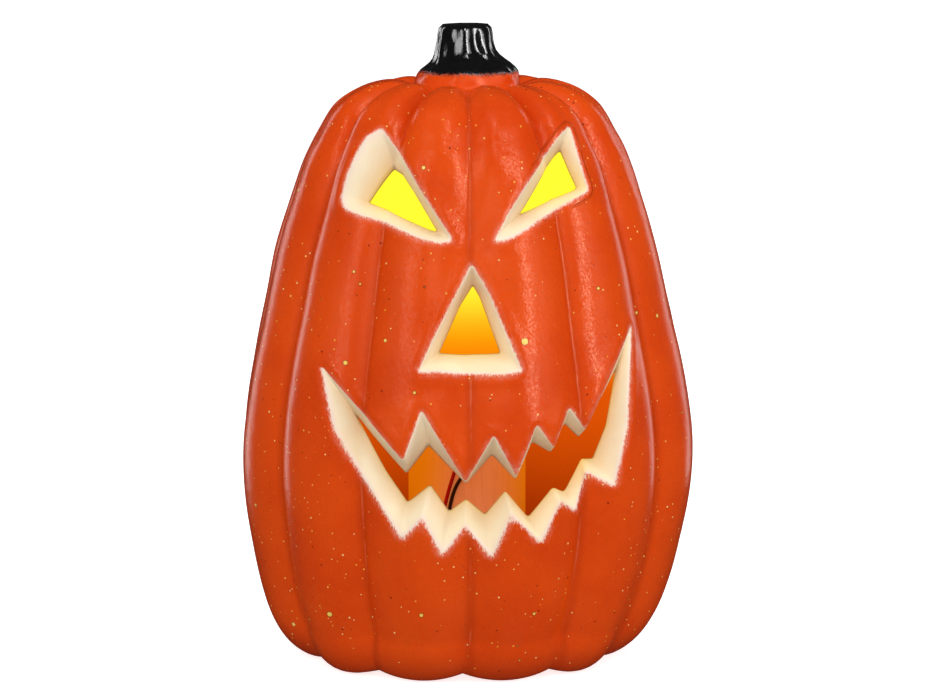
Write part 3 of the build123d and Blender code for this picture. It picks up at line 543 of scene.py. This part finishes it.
def skin_object(name):
    """The shell's outer skin with the recesses of the face."""
    outlines = [rounded(pairs) for pairs in FEATURES]
    rings = [lip_ring(outline) for outline in outlines]
    skin = Skin()
    removed, dropped = add_grid(skin, outlines, rings)
    lips = add_patches(skin, outlines, rings, removed, dropped)
    add_walls(skin, outlines, lips)
    # The lips stand a little proud of the skin around them.
    places = np.array(skin.places)
    values = {key: np.array(column) for key, column in skin.values.items()}
    outward = places * (1, 1, 0)
    outward /= np.maximum(np.linalg.norm(outward, axis=1), 1e-6)[:, None]
    ridge = LIP_RIDGE * np.exp(-(((values["lip"] - LIP_RIDGE_AT) / LIP_RIDGE_WIDTH) ** 2))
    places += outward * ridge[:, None]
    # Places that no face uses are left out.
    used = sorted({int(v) for face in skin.faces for v in face})
    renumber = {v: n for n, v in enumerate(used)}
    faces = [tuple(renumber[int(v)] for v in face) for face in skin.faces]
    places = places[used]
    values = {key: column[used] for key, column in values.items()}
    bearing = np.degrees(np.arctan2(places[:, 0], -places[:, 1]))
    values["groove"] = np.abs(across_lobe(np.clip(bearing, -179.99, 179.99)))
    return mesh_object(name, places, faces, values)


shell = skin_object("pumpkin_shell_skin")
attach(shell, "figure")
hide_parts("pumpkin_shell")

# The skin gets its thickness inwards: faces of the inside and of the cut edges take their own materials.
SKIN_THICKNESS = 1.5
thick = shell.modifiers.new("skin", "SOLIDIFY")
thick.thickness = SKIN_THICKNESS * MM
thick.offset = -1
thick.use_quality_normals = True
thick.material_offset = 1
thick.material_offset_rim = 2


# ------------------------------------------------------------------ materials
def srgb(red, green, blue):
    """Linear colour from the usual 0 to 255 values."""
    levels = [v / 255 for v in (red, green, blue)]
    return tuple(v / 12.92 if v <= 0.04045 else ((v + 0.055) / 1.055) ** 2.4 for v in levels)


WHITE = (1.0, 1.0, 1.0)


class Finish:
    """A procedural material, built node by node. Positions inside it are in millimetres.

    Its methods take numbers, colours or the outputs of other nodes, and return an output.
    """

    def __init__(self, name):
        self.material = bpy.data.materials.new(name)
        self.material.use_nodes = True
        self.tree = self.material.node_tree
        self.tree.nodes.clear()
        coordinates = self.node("TexCoord")
        self.place = self.vector_math("SCALE", coordinates.outputs["Object"], scale=1000.0)
        split = self.node("SeparateXYZ", Vector=self.place)
        self.x, self.y, self.z = split.outputs

    def node(self, kind, settings=None, **inputs):
        """A shader node of a kind; in the names of its inputs, _ stands for a space."""
        node = self.tree.nodes.new("ShaderNode" + kind)
        for key, value in (settings or {}).items():
            setattr(node, key, value)
        for key, value in inputs.items():
            self.feed(node.inputs[key.replace("_", " ")], value)
        return node

    def feed(self, socket, value):
        """Links or sets an input, whichever the value asks for."""
        if isinstance(value, bpy.types.Node):
            value = value.outputs[0]
        if isinstance(value, bpy.types.NodeSocket):
            self.tree.links.new(value, socket)
        elif isinstance(value, tuple) and socket.type == "RGBA":
            socket.default_value = (*value, 1.0)
        else:
            socket.default_value = value

    def vector_math(self, operation, a, b=(0, 0, 0), scale=1.0):
        node = self.node("VectorMath", {"operation": operation})
        self.feed(node.inputs[0], a)
        if operation == "SCALE":
            self.feed(node.inputs["Scale"], scale)
        else:
            self.feed(node.inputs[1], b)
        return node.outputs["Value"] if operation == "LENGTH" else node.outputs[0]

    def math(self, operation, a, b=0.0, clamp=False):
        node = self.node("Math", {"operation": operation, "use_clamp": clamp})
        self.feed(node.inputs[0], a)
        self.feed(node.inputs[1], b)
        return node.outputs[0]

    def plus(self, a, b):
        return self.math("ADD", a, b)

    def minus(self, a, b):
        return self.math("SUBTRACT", a, b)

    def times(self, a, b):
        return self.math("MULTIPLY", a, b)

    def apart(self, a, b=0.0):
        """How far a and b are apart."""
        return self.math("ABSOLUTE", self.minus(a, b))

    def mix(self, share, a, b):
        node = self.node("Mix", {"data_type": "RGBA"})
        self.feed(node.inputs[0], share)
        self.feed(node.inputs[6], a)
        self.feed(node.inputs[7], b)
        return node.outputs[2]

    def ease(self, value, low, high, start=0.0, end=1.0):
        """start below low, end above high, eased between."""
        node = self.node("MapRange", {"interpolation_type": "SMOOTHSTEP"}, Value=value)
        for key, number in (("From Min", low), ("From Max", high), ("To Min", start), ("To Max", end)):
            self.feed(node.inputs[key], number)
        return node.outputs[0]

    def noise(self, size, detail=2.0, roughness=0.5, stretch=(1, 1, 1)):
        """Noise with features about size millimetres across, from 0 to 1 around 0.5."""
        where = self.vector_math("MULTIPLY", self.place, tuple(k / size for k in stretch))
        node = self.node("TexNoise", Vector=where, Scale=1.0, Detail=detail, Roughness=roughness)
        return node.outputs[0]

    def waver(self, amount, size, detail, roughness, stretch=(1, 1, 1)):
        """Noise centred on 0, scaled to the amount."""
        return self.times(self.minus(self.noise(size, detail, roughness, stretch), 0.5), amount)

    def specks(self, cell, largest, share, smallest=0.35, margin=0.0):
        """A mask of scattered round specks: one per cell at most, up to largest millimetres in radius.

        The smallest is given as a share of the largest, and the margin is added to every radius.
        """
        softness = 0.15
        where = self.vector_math("MULTIPLY", self.place, (1 / cell, 1 / cell, 1 / cell))
        node = self.node("TexVoronoi", Vector=where, Scale=1.0, Randomness=1.0)
        chance = self.node("SeparateColor", Color=node.outputs["Color"])
        span = self.times(chance.outputs[0], (1 - smallest) * largest / cell)
        size = self.plus(span, (smallest * largest + margin) / cell)
        chosen = self.math("LESS_THAN", chance.outputs[1], share)
        dot = self.math("MULTIPLY", self.minus(size, node.outputs["Distance"]), cell / softness, clamp=True)
        return self.times(dot, chosen)

    def attribute(self, name):
        """One of the float attributes that the mesh carries."""
        return self.node("Attribute", {"attribute_name": name}).outputs["Fac"]

    def bump(self, height, distance, normal=None):
        """distance is the relief in millimetres for a height of 1."""
        node = self.node("Bump", Height=height, Strength=1.0, Distance=distance * MM)
        if normal is not None:
            self.feed(node.inputs["Normal"], normal)
        return node.outputs[0]

    def surface(self, **inputs):
        """Ends the material in one Principled shader and returns the material."""
        shader = self.node("BsdfPrincipled", **inputs)
        out = self.node("OutputMaterial")
        self.tree.links.new(shader.outputs[0], out.inputs[0])
        return self.material


PUMPKIN_ORANGE = srgb(236, 78, 12)
DEEP_ORANGE = srgb(226, 68, 8)
SEAM_HIGHLIGHT_ORANGE = srgb(246, 132, 96)
PAINTED_SHADE_RED = srgb(140, 26, 8)
FLASH_RED = srgb(140, 18, 8)
CREAM = srgb(255, 238, 206)
GOLD = srgb(252, 182, 64)
PALE_GOLD = srgb(255, 228, 150)
FLECK_RIM = srgb(150, 40, 10)
STEM_BLACK = srgb(14, 14, 15)
# The numbers that the skin's attribute "feature" has, as FEATURES lists them.
RIGHT_EYE_NUMBER, NOSE_NUMBER, MOUTH_NUMBER = 1, 2, 3
# The largest flecks on the front: x, z, radius.
LARGE_FLECKS = [
    (25.0, 164.4, 1.6),
    (36.5, 222.2, 0.9),
    (60.0, 186.1, 0.8),
    (79.3, 171.3, 0.8),
    (-58.0, 152.6, 1.1),
    (-26.0, 141.3, 0.8),
    (-66.0, 32.0, 1.3),
    (-23.0, 36.0, 1.0),
    (29.6, 36.0, 0.8),
]


def sprayed_orange(f, groove):
    """Uneven orange with painted shade in the grooves and low down, and the mould's seams showing: a pale
    painted highlight or dark red.
    """
    color = f.mix(f.ease(f.noise(38, 3), 0.35, 0.7), PUMPKIN_ORANGE, DEEP_ORANGE)
    color = f.mix(f.ease(f.noise(3.2, 4, 0.65), 0.3, 0.8, 0, 0.15), color, srgb(240, 92, 34))
    below_crown = f.ease(f.z, 270, 277, 1, 0)
    # Painted shade darkens the grooves below the crown.
    color = f.mix(f.times(f.ease(groove, 0.84, 1.0, 0, 0.22), below_crown), color, PAINTED_SHADE_RED)
    # On the front the seams carry a pale painted highlight in places.
    seam_highlight = f.times(f.ease(groove, 0.972, 0.992), f.ease(f.noise(14, 3), 0.42, 0.62, 0.0, 0.3))
    seam_highlight = f.times(seam_highlight, f.math("LESS_THAN", f.apart(f.x), 60.0))
    color = f.mix(f.times(seam_highlight, f.ease(f.y, -30, -50)), color, SEAM_HIGHLIGHT_ORANGE)
    # At each side the parting line's flash is dark red.
    flash = f.times(f.ease(groove, 0.965, 0.985), f.math("LESS_THAN", f.apart(f.y), 9.0))
    flash = f.times(flash, f.times(f.ease(f.noise(5, 3), 0.42, 0.5), below_crown))
    color = f.mix(flash, color, FLASH_RED)
    # Painted shade darkens the shell towards the ground.
    return f.mix(f.ease(f.z, 22, 0, 0, 0.5), color, PAINTED_SHADE_RED)


def flecked(f, color):
    """Dark, pale and golden flecks over the colour, denser in some places than in others."""
    patchy = f.ease(f.noise(48, 1), 0.35, 0.7, 0.25, 0.9)
    color = f.mix(f.specks(4.6, 0.52, f.times(patchy, 0.8), 0.4), color, srgb(92, 12, 8))
    color = f.mix(f.specks(16.0, 1.3, 0.55, margin=0.22), color, FLECK_RIM)
    color = f.mix(f.specks(16.0, 1.3, 0.55), color, srgb(255, 214, 110))
    small = f.mix(f.ease(f.noise(7, 1), 0.4, 0.6), GOLD, PALE_GOLD)
    color = f.mix(f.specks(3.5, 0.56, patchy, 0.45), color, small)
    rim = 0.3
    in_front_view = f.vector_math("MULTIPLY", f.place, (1, 0, 1))
    for x, z, radius in LARGE_FLECKS:
        away = f.vector_math("LENGTH", f.vector_math("SUBTRACT", in_front_view, (x, 0, z)))
        away = f.plus(away, f.ease(f.y, -20, 0, 0, 9))
        fleck = f.mix(f.ease(away, radius, radius - rim), FLECK_RIM, srgb(255, 214, 100))
        color = f.mix(f.ease(away, radius + rim, radius), color, fleck)
    return color


def cream_mask(f, lip, feature, spill):
    """Cream, sprayed through a mask: a brushy fringe reaches past the lip, most of all below the mouth."""
    spill = f.times(spill, f.ease(feature, NOSE_NUMBER + 0.2, MOUTH_NUMBER - 0.2, 0.3, 1.0))
    fringe = f.waver(f.ease(spill, -1, 1, 2.2, 8.0), 0.8, 5, 0.8, (1, 1, 0.4))
    edge = f.minus(f.plus(lip, fringe), f.ease(spill, -1, 1, -0.7, 0.7))
    haze = f.times(f.ease(edge, 3.0, 0.4, 0, 0.14), f.ease(f.noise(9, 2), 0.35, 0.65))
    return f.math("MAXIMUM", f.ease(edge, 1.1, -1.0), haze)


def cream_shades(f, wall):
    """The recesses' cream: pale at the lip, browner deep in and at the cut, with painted shade on faces
    that look down.
    """
    facing = f.node("SeparateXYZ", Vector=f.node("NewGeometry").outputs["Normal"])
    shade = f.mix(f.ease(wall, 0.0, 0.25), srgb(255, 232, 214), CREAM)
    shade = f.mix(f.ease(wall, 0.35, 1.0, 0, 0.8), shade, srgb(238, 208, 166))
    # Painted shade on the walls that face down.
    shade = f.mix(f.ease(facing.outputs["Z"], -0.05, -0.75, 0, 0.6), shade, srgb(190, 168, 136))
    shade = f.mix(f.ease(f.noise(14, 2), 0.4, 0.75, 0, 0.35), shade, srgb(244, 214, 178))
    return f.mix(f.ease(wall, 0.965, 0.99, 0, 0.7), shade, srgb(116, 74, 26))


def black_mask(f):
    """Black above a wavering, feathered line round the collar."""
    height = f.plus(f.z, f.plus(f.waver(3.0, 7, 4, 0.7), f.waver(4.5, 0.8, 4, 0.8, (1, 1, 0.4))))
    return f.ease(height, 280.9, 283.1)


def paint_relief(f, lip, feature, black):
    """Fine grain and slow ripples, strands up the stem, and an outline pressed in by the right eye."""
    relief = f.bump(f.noise(0.8, 3, 0.6), 0.06)
    relief = f.bump(f.noise(5.5, 2, 0.5), 0.2, relief)
    relief = f.bump(f.times(f.noise(3.6, 1, 0.5, (1, 1, 0.2)), black), 0.3, relief)
    outline = f.ease(f.apart(lip, 3.0), 0.7, 0.1)
    outline = f.times(outline, f.math("LESS_THAN", f.apart(feature, RIGHT_EYE_NUMBER), 0.1))
    outline = f.times(outline, f.ease(f.plus(f.z, f.x), 268, 276))
    return f.bump(outline, -0.6, relief)


def shell_paint():
    """Sprayed orange with flecks, cream recesses with feathered edges, and a glossy black stem."""
    f = Finish("shell_paint")
    names = ("lip", "groove", "wall", "feature", "spill")
    lip, groove, wall, feature, spill = (f.attribute(name) for name in names)
    cream = cream_mask(f, lip, feature, spill)
    black = black_mask(f)
    soot = f.mix(f.ease(f.noise(5, 4), 0.45, 0.8, 0, 0.25), STEM_BLACK, srgb(40, 39, 38))
    color = flecked(f, sprayed_orange(f, groove))
    color = f.mix(cream, color, cream_shades(f, wall))
    rough = f.ease(f.noise(1.1, 4, 0.75), 0.3, 0.7, 0.16, 0.26)
    rough = f.minus(f.plus(rough, f.times(cream, 0.35)), f.times(black, 0.07))
    relief = paint_relief(f, lip, feature, black)
    mottled_gloss = f.ease(f.noise(0.85, 2, 0.6), 0.36, 0.64, 0.1, 0.85)
    return f.surface(
        Base_Color=f.mix(black, color, soot),
        Roughness=rough,
        Normal=relief,
        Specular_IOR_Level=f.math("MAXIMUM", mottled_gloss, black),
        Specular_Tint=f.mix(black, srgb(255, 214, 184), WHITE),
        Coat_Weight=black,
        Coat_Roughness=0.08,
        Coat_IOR=2.0,
        Coat_Normal=relief,
        # The cream glows faintly: painted light that brightens the recesses.
        Emission_Color=srgb(255, 214, 160),
        Emission_Strength=f.times(cream, 0.06),
    )


def lit_inside():
    """The inside of the shell, lit by the lamp: yellow at the top, deep orange low down."""
    f = Finish("shell_inside")
    height = f.plus(f.z, f.waver(8.0, 60, 2, 0.5))
    low = f.mix(f.ease(height, 30, 118), srgb(120, 26, 0), srgb(206, 78, 4))
    middle = f.mix(f.ease(height, 112, 144), low, srgb(252, 160, 6))
    glow = f.mix(f.ease(height, 134, 176), middle, srgb(255, 255, 54))
    return f.surface(
        Base_Color=srgb(120, 50, 8),
        Roughness=0.8,
        Specular_IOR_Level=0.1,
        Emission_Color=glow,
        Emission_Strength=1.0,
        Normal=f.bump(f.noise(6, 3), 0.3),
    )


def cut_edge():
    """The thin cut wall of the openings, pale where the light comes through it."""
    f = Finish("shell_cut_edge")
    color = f.mix(f.ease(f.noise(2.0, 3), 0.4, 0.7), srgb(250, 224, 178), srgb(238, 196, 140))
    return f.surface(
        Base_Color=color,
        Roughness=0.6,
        Emission_Color=srgb(255, 205, 120),
        Emission_Strength=f.ease(f.z, 20, 60, 0.0, 0.18),
        Normal=f.bump(f.noise(0.7, 3), 0.06),
    )


def moulded_black(name, tone):
    """Black moulded plastic with a fine spark-eroded grain, faint flow lines and scuffs."""
    f = Finish(name)
    scratches = f.ease(f.noise(3, 6, 0.75, (0.25, 1, 1)), 0.6, 0.75)
    scuff = f.times(scratches, f.ease(f.noise(22, 2), 0.5, 0.7))
    paler = srgb(tone + 9, tone + 8, tone + 8)
    color = f.mix(f.ease(f.noise(30, 3), 0.3, 0.7), srgb(tone, tone, tone + 1), paler)
    color = f.mix(f.times(scuff, 0.5), color, srgb(96, 94, 92))
    rough = f.ease(f.noise(5, 4), 0.3, 0.7, 0.48, 0.62)
    return f.surface(Base_Color=color, Roughness=rough, Normal=f.bump(f.noise(0.45, 2, 0.6), 0.04))


def metal(name, tone, low=0.22, high=0.42, grain=(1, 1, 1)):
    """Plated or drawn metal with fine scratches and a little staining."""
    f = Finish(name)
    stain = f.ease(f.noise(4, 4, 0.7), 0.35, 0.8)
    dull = tuple(k * 0.72 for k in tone)
    scratches = f.noise(0.5, 3, 0.8, grain)
    return f.surface(
        Base_Color=f.mix(stain, tone, dull),
        Metallic=1.0,
        Roughness=f.ease(f.noise(2.2, 4, 0.7), 0.25, 0.75, low, high),
        Normal=f.bump(scratches, 0.015),
    )


def coloured_plastic(name, tone, shade, low, high):
    """Plain plastic in one colour with patches of a second shade and a slight ripple."""
    f = Finish(name)
    color = f.mix(f.ease(f.noise(6, 4, 0.7), 0.4, 0.8), tone, shade)
    rough = f.ease(f.noise(1.5, 3), 0.3, 0.7, low, high)
    return f.surface(Base_Color=color, Roughness=rough, Normal=f.bump(f.noise(1.2, 3), 0.03))


def cell_sleeve():
    """Printed battery sleeve: dark body, copper band at the raised end, bare steel ends."""
    f = Finish("cell_sleeve")
    # The middle cell is turned round, so distances along it are counted the other way.
    turned = f.math("LESS_THAN", f.apart(f.y), 7.3)
    along = f.times(f.x, f.minus(1.0, f.times(turned, 2.0)))
    copper = f.ease(along, 12.0, 12.2)
    stripe = f.times(f.ease(along, 10.6, 10.7), f.ease(along, 11.6, 11.5))
    color = f.mix(copper, srgb(30, 31, 36), srgb(186, 106, 44))
    color = f.mix(stripe, color, srgb(214, 212, 206))
    ends = f.math("ADD", f.ease(along, 27.2, 27.3), f.ease(along, -20.3, -20.4), clamp=True)
    color = f.mix(ends, color, srgb(196, 194, 188))
    color = f.mix(f.ease(f.noise(7, 4), 0.5, 0.8, 0, 0.25), color, srgb(70, 66, 62))
    rough = f.ease(f.noise(1.8, 4), 0.3, 0.7, 0.24, 0.36)
    metallic = f.math("MAXIMUM", ends, f.times(copper, 0.6))
    relief = f.bump(f.noise(4, 2), 0.03)
    return f.surface(Base_Color=color, Metallic=metallic, Roughness=rough, Normal=relief)


def board_laminate():
    """Green solder mask over copper tracks, with a woven laminate showing faintly."""
    f = Finish("board_laminate")
    bend = f.times(f.noise(14, 0), 9.0)
    lines = []
    for across, along in ((f.x, f.y), (f.y, f.x)):
        wave = f.math("SINE", f.plus(f.times(across, 2.1), bend))
        gate = f.ease(f.math("SINE", f.times(along, 0.35)), 0.0, 0.2)
        lines.append(f.times(f.ease(wave, 0.55, 0.75), gate))
    tracks = f.math("MAXIMUM", *lines)
    color = f.mix(tracks, srgb(16, 84, 44), srgb(48, 132, 70))
    color = f.mix(f.ease(f.noise(0.8, 2), 0.45, 0.6, 0, 0.2), color, srgb(10, 60, 30))
    relief = f.bump(tracks, 0.035, f.bump(f.noise(0.7, 2), 0.01))
    return f.surface(Base_Color=color, Roughness=0.32, Normal=relief)


def chip_resin(board_top):
    """Black moulded package with a pin-one dot; its legs are tinned."""
    f = Finish("chip_resin")
    beside = f.ease(f.apart(f.y), 2.0, 2.05)
    under = f.ease(f.z, board_top + 0.3, board_top + 0.28)
    legs = f.math("MAXIMUM", beside, under)
    from_dot = f.vector_math("SUBTRACT", f.place, (-3.6, -1.2, board_top + 1.9))
    dot = f.ease(f.vector_math("LENGTH", from_dot), 0.5, 0.4)
    color = f.mix(dot, srgb(26, 26, 28), srgb(90, 90, 88))
    color = f.mix(legs, color, srgb(200, 198, 192))
    return f.surface(
        Base_Color=color,
        Metallic=legs,
        Roughness=f.ease(f.noise(0.8, 3), 0.3, 0.7, 0.4, 0.6),
        Normal=f.bump(f.noise(0.25, 2), 0.02),
    )


def capacitor_can(box):
    """Dark blue shrink sleeve with a pale stripe, bare aluminium on top."""
    f = Finish("capacitor_can")
    middle = (box[0] + box[1]).x / 2 / MM
    top_face = box[1].z / MM
    stripe = f.ease(f.minus(f.x, middle), 2.3, 2.4)
    top = f.ease(f.z, top_face - 0.35, top_face - 0.25)
    color = f.mix(stripe, srgb(24, 30, 84), srgb(190, 192, 200))
    color = f.mix(top, color, srgb(200, 200, 198))
    return f.surface(
        Base_Color=color,
        Metallic=top,
        Roughness=f.ease(f.noise(1.5, 3), 0.3, 0.7, 0.2, 0.34),
        Normal=f.bump(f.noise(1.2, 3), 0.03),
    )


def resistor_body(box):
    """Tan lacquer with colour bands across it; the wire ends are tinned."""
    f = Finish("resistor_body")
    middle = (box[0] + box[1]).y / 2 / MM
    along = f.minus(f.y, middle)
    color = srgb(214, 186, 138)
    brown, black, red, gold = srgb(120, 60, 20), srgb(30, 26, 24), srgb(208, 48, 20), srgb(196, 150, 50)
    for place, tone in ((-1.6, brown), (-0.8, black), (0.0, red), (1.6, gold)):
        color = f.mix(f.ease(f.apart(along, place), 0.26, 0.22), color, tone)
    wire = f.ease(f.apart(along), 2.5, 2.52)
    color = f.mix(wire, color, srgb(205, 203, 198))
    return f.surface(
        Base_Color=color,
        Metallic=wire,
        Roughness=f.ease(f.noise(1.0, 3), 0.3, 0.7, 0.22, 0.4),
        Normal=f.bump(f.noise(0.6, 2), 0.02),
    )


def lit_post():
    """White moulded tube with painted light: washed orange by the lit shell round it, and paler where it
    faces the mouth and the light comes in.
    """
    f = Finish("post_plastic")
    middle, radius = 4.0, 28.5
    front = f.ease(f.y, 0.0, -radius)
    side = f.ease(f.apart(f.x, middle), 0.25 * radius, 0.95 * radius)
    # Painted glow, more orange towards the sides.
    glow = f.mix(side, srgb(160, 86, 44), srgb(200, 108, 0))
    flow = f.noise(2.5, 3, 0.6, (1, 1, 0.08))
    color = f.mix(f.ease(flow, 0.35, 0.7), srgb(206, 146, 110), srgb(190, 128, 90))
    # Painted orange light on the sides.
    color = f.mix(side, color, srgb(150, 80, 20))
    return f.surface(
        # Painted light from the mouth makes the front paler.
        Base_Color=f.mix(f.times(front, 0.2), color, srgb(222, 160, 120)),
        Roughness=f.ease(f.noise(4, 3), 0.3, 0.7, 0.38, 0.5),
        Emission_Color=glow,
        Emission_Strength=f.ease(f.z, 22, 90, 0.25, 0.8),
        Normal=f.bump(flow, 0.04),
    )


def led_resin(board_top):
    """Tinted clear resin with the lit chip glowing through it."""
    f = Finish("led_resin")
    glow = f.mix(f.ease(f.z, board_top + 2, board_top + 8), srgb(255, 190, 60), srgb(255, 240, 150))
    return f.surface(
        Base_Color=srgb(255, 210, 110),
        Roughness=f.ease(f.noise(1.0, 2), 0.3, 0.7, 0.06, 0.14),
        Emission_Color=glow,
        Emission_Strength=3.0,
        Normal=f.bump(f.noise(1.4, 2), 0.01),
    )


def top_of(node):
    """The height of a node's upper face in millimetres."""
    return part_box(node)[1].z / MM


for finish in (shell_paint(), lit_inside(), cut_edge()):
    shell.data.materials.append(finish)
applied(shell)

ZINC, NICKEL, TIN = srgb(188, 186, 178), srgb(208, 204, 196), srgb(212, 196, 150)
KNOB_WHITE, KNOB_GREY = srgb(226, 225, 220), srgb(196, 192, 182)
finishes = {
    "base_plastic": moulded_black("base_plastic", 38),
    "door_plastic": moulded_black("door_plastic", 42),
    "post_plastic": lit_post(),
    "screw_steel": metal("screw_steel", ZINC),
    "spring_steel": metal("spring_steel", NICKEL, 0.14, 0.28),
    "cell_sleeve": cell_sleeve(),
    "switch_metal": metal("switch_metal", ZINC, 0.25, 0.4, (0.1, 1, 1)),
    "knob_plastic": coloured_plastic("knob_plastic", KNOB_WHITE, KNOB_GREY, 0.38, 0.52),
    "terminal_metal": metal("terminal_metal", TIN, 0.2, 0.35),
    "board_laminate": board_laminate(),
    "chip_resin": chip_resin(top_of("timer_board")),
    "capacitor_can": capacitor_can(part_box("capacitor")),
    "resistor_body": resistor_body(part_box("resistors")),
    "crystal_can": metal("crystal_can", NICKEL, 0.2, 0.34, (0.1, 1, 1)),
    "led_resin": led_resin(top_of("led_board")),
    "red_sleeve": coloured_plastic("red_sleeve", srgb(176, 8, 4), srgb(140, 4, 4), 0.24, 0.38),
    "black_sleeve": coloured_plastic("black_sleeve", srgb(18, 16, 16), srgb(34, 32, 30), 0.24, 0.4),
}
for part in frame["record"]["subparts"]:
    node = frame["nodes"][part["node"]]
    if part["material_slot"] in finishes:
        node.data.materials.clear()
        node.data.materials.append(finishes[part["material_slot"]])


# ------------------------------------------------------------------ camera and light
CAMERA_BACK = 2000.0
CAMERA_HEIGHT = 426.0
CAMERA_AZIMUTH = -1.0
CAMERA_AIM = Vector((0, 0, 150.0))
CAMERA_LENS = 160.5
CAMERA_SHIFT = (-0.000536, -0.006967)  # shares of the picture's width
ROOM_LIGHT = 0.42  # the even light from all round
ROOM_MIRRORED = 0.012  # as reflections show it
BACKDROP = 1.0  # as the camera sees it


def aimed(obj, place, aim):
    """Links obj to the scene at a place, with its front turned towards aim."""
    bpy.context.scene.collection.objects.link(obj)
    obj.location = Vector(place) * MM
    obj.rotation_euler = (Vector(aim) * MM - obj.location).to_track_quat("-Z", "Y").to_euler()
    return obj


def around(distance, azimuth, height):
    """The place at a distance from the middle, seen from above at an azimuth from the front."""
    turn = math.radians(azimuth)
    return (distance * math.sin(turn), -distance * math.cos(turn), height)


camera = bpy.data.objects.new("camera", bpy.data.cameras.new("camera"))
aimed(camera, around(CAMERA_BACK, CAMERA_AZIMUTH, CAMERA_HEIGHT), CAMERA_AIM)
camera.data.lens = CAMERA_LENS
camera.data.sensor_width = 36
camera.data.shift_x, camera.data.shift_y = CAMERA_SHIFT
camera.data.clip_end = 50
bpy.context.scene.camera = camera

world = bpy.data.worlds.new("studio")
bpy.context.scene.world = world
world.use_nodes = True
tree = world.node_tree
paths = tree.nodes.new("ShaderNodeLightPath")
mirrored = tree.nodes.new("ShaderNodeMix")
mirrored.inputs["A"].default_value = ROOM_LIGHT
mirrored.inputs["B"].default_value = ROOM_MIRRORED
tree.links.new(paths.outputs["Is Glossy Ray"], mirrored.inputs["Factor"])
seen = tree.nodes.new("ShaderNodeMix")
seen.inputs["B"].default_value = BACKDROP
tree.links.new(mirrored.outputs[0], seen.inputs["A"])
tree.links.new(paths.outputs["Is Camera Ray"], seen.inputs["Factor"])
background = tree.nodes["Background"]
background.inputs["Color"].default_value = (*WHITE, 1.0)
tree.links.new(seen.outputs[0], background.inputs["Strength"])


def softbox(name, place, aim, width, height, power):
    """A rectangular area light, turned towards aim."""
    lamp = bpy.data.lights.new(name, "AREA")
    lamp.shape = "RECTANGLE"
    lamp.size = width * MM
    lamp.size_y = height * MM
    lamp.energy = power
    return aimed(bpy.data.objects.new(name, lamp), place, aim)


# Lights that reflections don't show.
MIDDLE = (0, 0, 150)
for name, place, aim, width, height, power in (
    ("key_front", (-200, -1900, 900), MIDDLE, 700, 700, 13),
    ("fill_left", (-1700, -900, 700), MIDDLE, 600, 600, 3.0),
    ("fill_right", (1800, -700, 500), MIDDLE, 600, 600, 7.6),
    ("fill_back", (300, 1900, 900), MIDDLE, 600, 600, 9),
    ("softbox_top", (0, -300, 1500), MIDDLE, 900, 500, 4.6),
    ("fill_under", (500, -900, -1500), (0, 0, 0), 900, 900, 2.5),
):
    softbox(name, place, aim, width, height, power).visible_glossy = False

# Lights that only reflections show: a glint on the stem, and tall boxes that streak the lobes.
softbox("glint_top", (150, -900, 1700), (0, 0, 250), 220, 500, 1.7).visible_diffuse = False
BOX_DISTANCE = 1800
for name, azimuth, width, bottom, top, radiance in (
    ("core_right", 35, 420, 380, 2100, 4.8),
    ("wide_right", 46, 1150, 380, 2100, 1.1),
    ("box_left", -42, 560, 380, 2100, 2.0),
    ("rim_left", -136, 480, -290, 1410, 1.7),
    ("rim_right", 136, 480, -290, 1410, 1.4),
):
    middle = (bottom + top) / 2
    height = top - bottom
    power = radiance * math.pi * width * height * MM**2
    place = around(BOX_DISTANCE, azimuth, middle)
    softbox(name, place, (0, 0, middle), width, height, power).visible_diffuse = False

# The floor is a plain pale sheet seen from above only, so that the underside can be looked at too.
FLOOR_REACH = 12000
FLOOR_BELOW = 0.05
floor_corners = np.array([(-1, -1, 0), (1, -1, 0), (1, 1, 0), (-1, 1, 0)]) * FLOOR_REACH
floor = mesh_object("floor", floor_corners - (0, 0, FLOOR_BELOW), [(0, 1, 2, 3)])
pale = Finish("pale_floor")
grey = pale.mix(pale.ease(pale.noise(180, 3), 0.3, 0.7), (0.93, 0.93, 0.93), (0.96, 0.96, 0.96))
sheet = pale.surface(Base_Color=grey, Roughness=0.9, Emission_Color=WHITE, Emission_Strength=0.8)
floor.data.materials.append(sheet)
from_below = pale.node("NewGeometry").outputs["Backfacing"]
one_sided = pale.node("MixShader", Fac=from_below)
pale.feed(one_sided.inputs[1], pale.tree.nodes["Principled BSDF"])
pale.feed(one_sided.inputs[2], pale.node("BsdfTransparent"))
pale.feed(pale.tree.nodes["Material Output"].inputs["Surface"], one_sided)
floor.visible_glossy = False
floor.visible_diffuse = False
floor.visible_shadow = False

bpy.context.scene.view_settings.view_transform = "Standard"

bpy.context.view_layer.update()
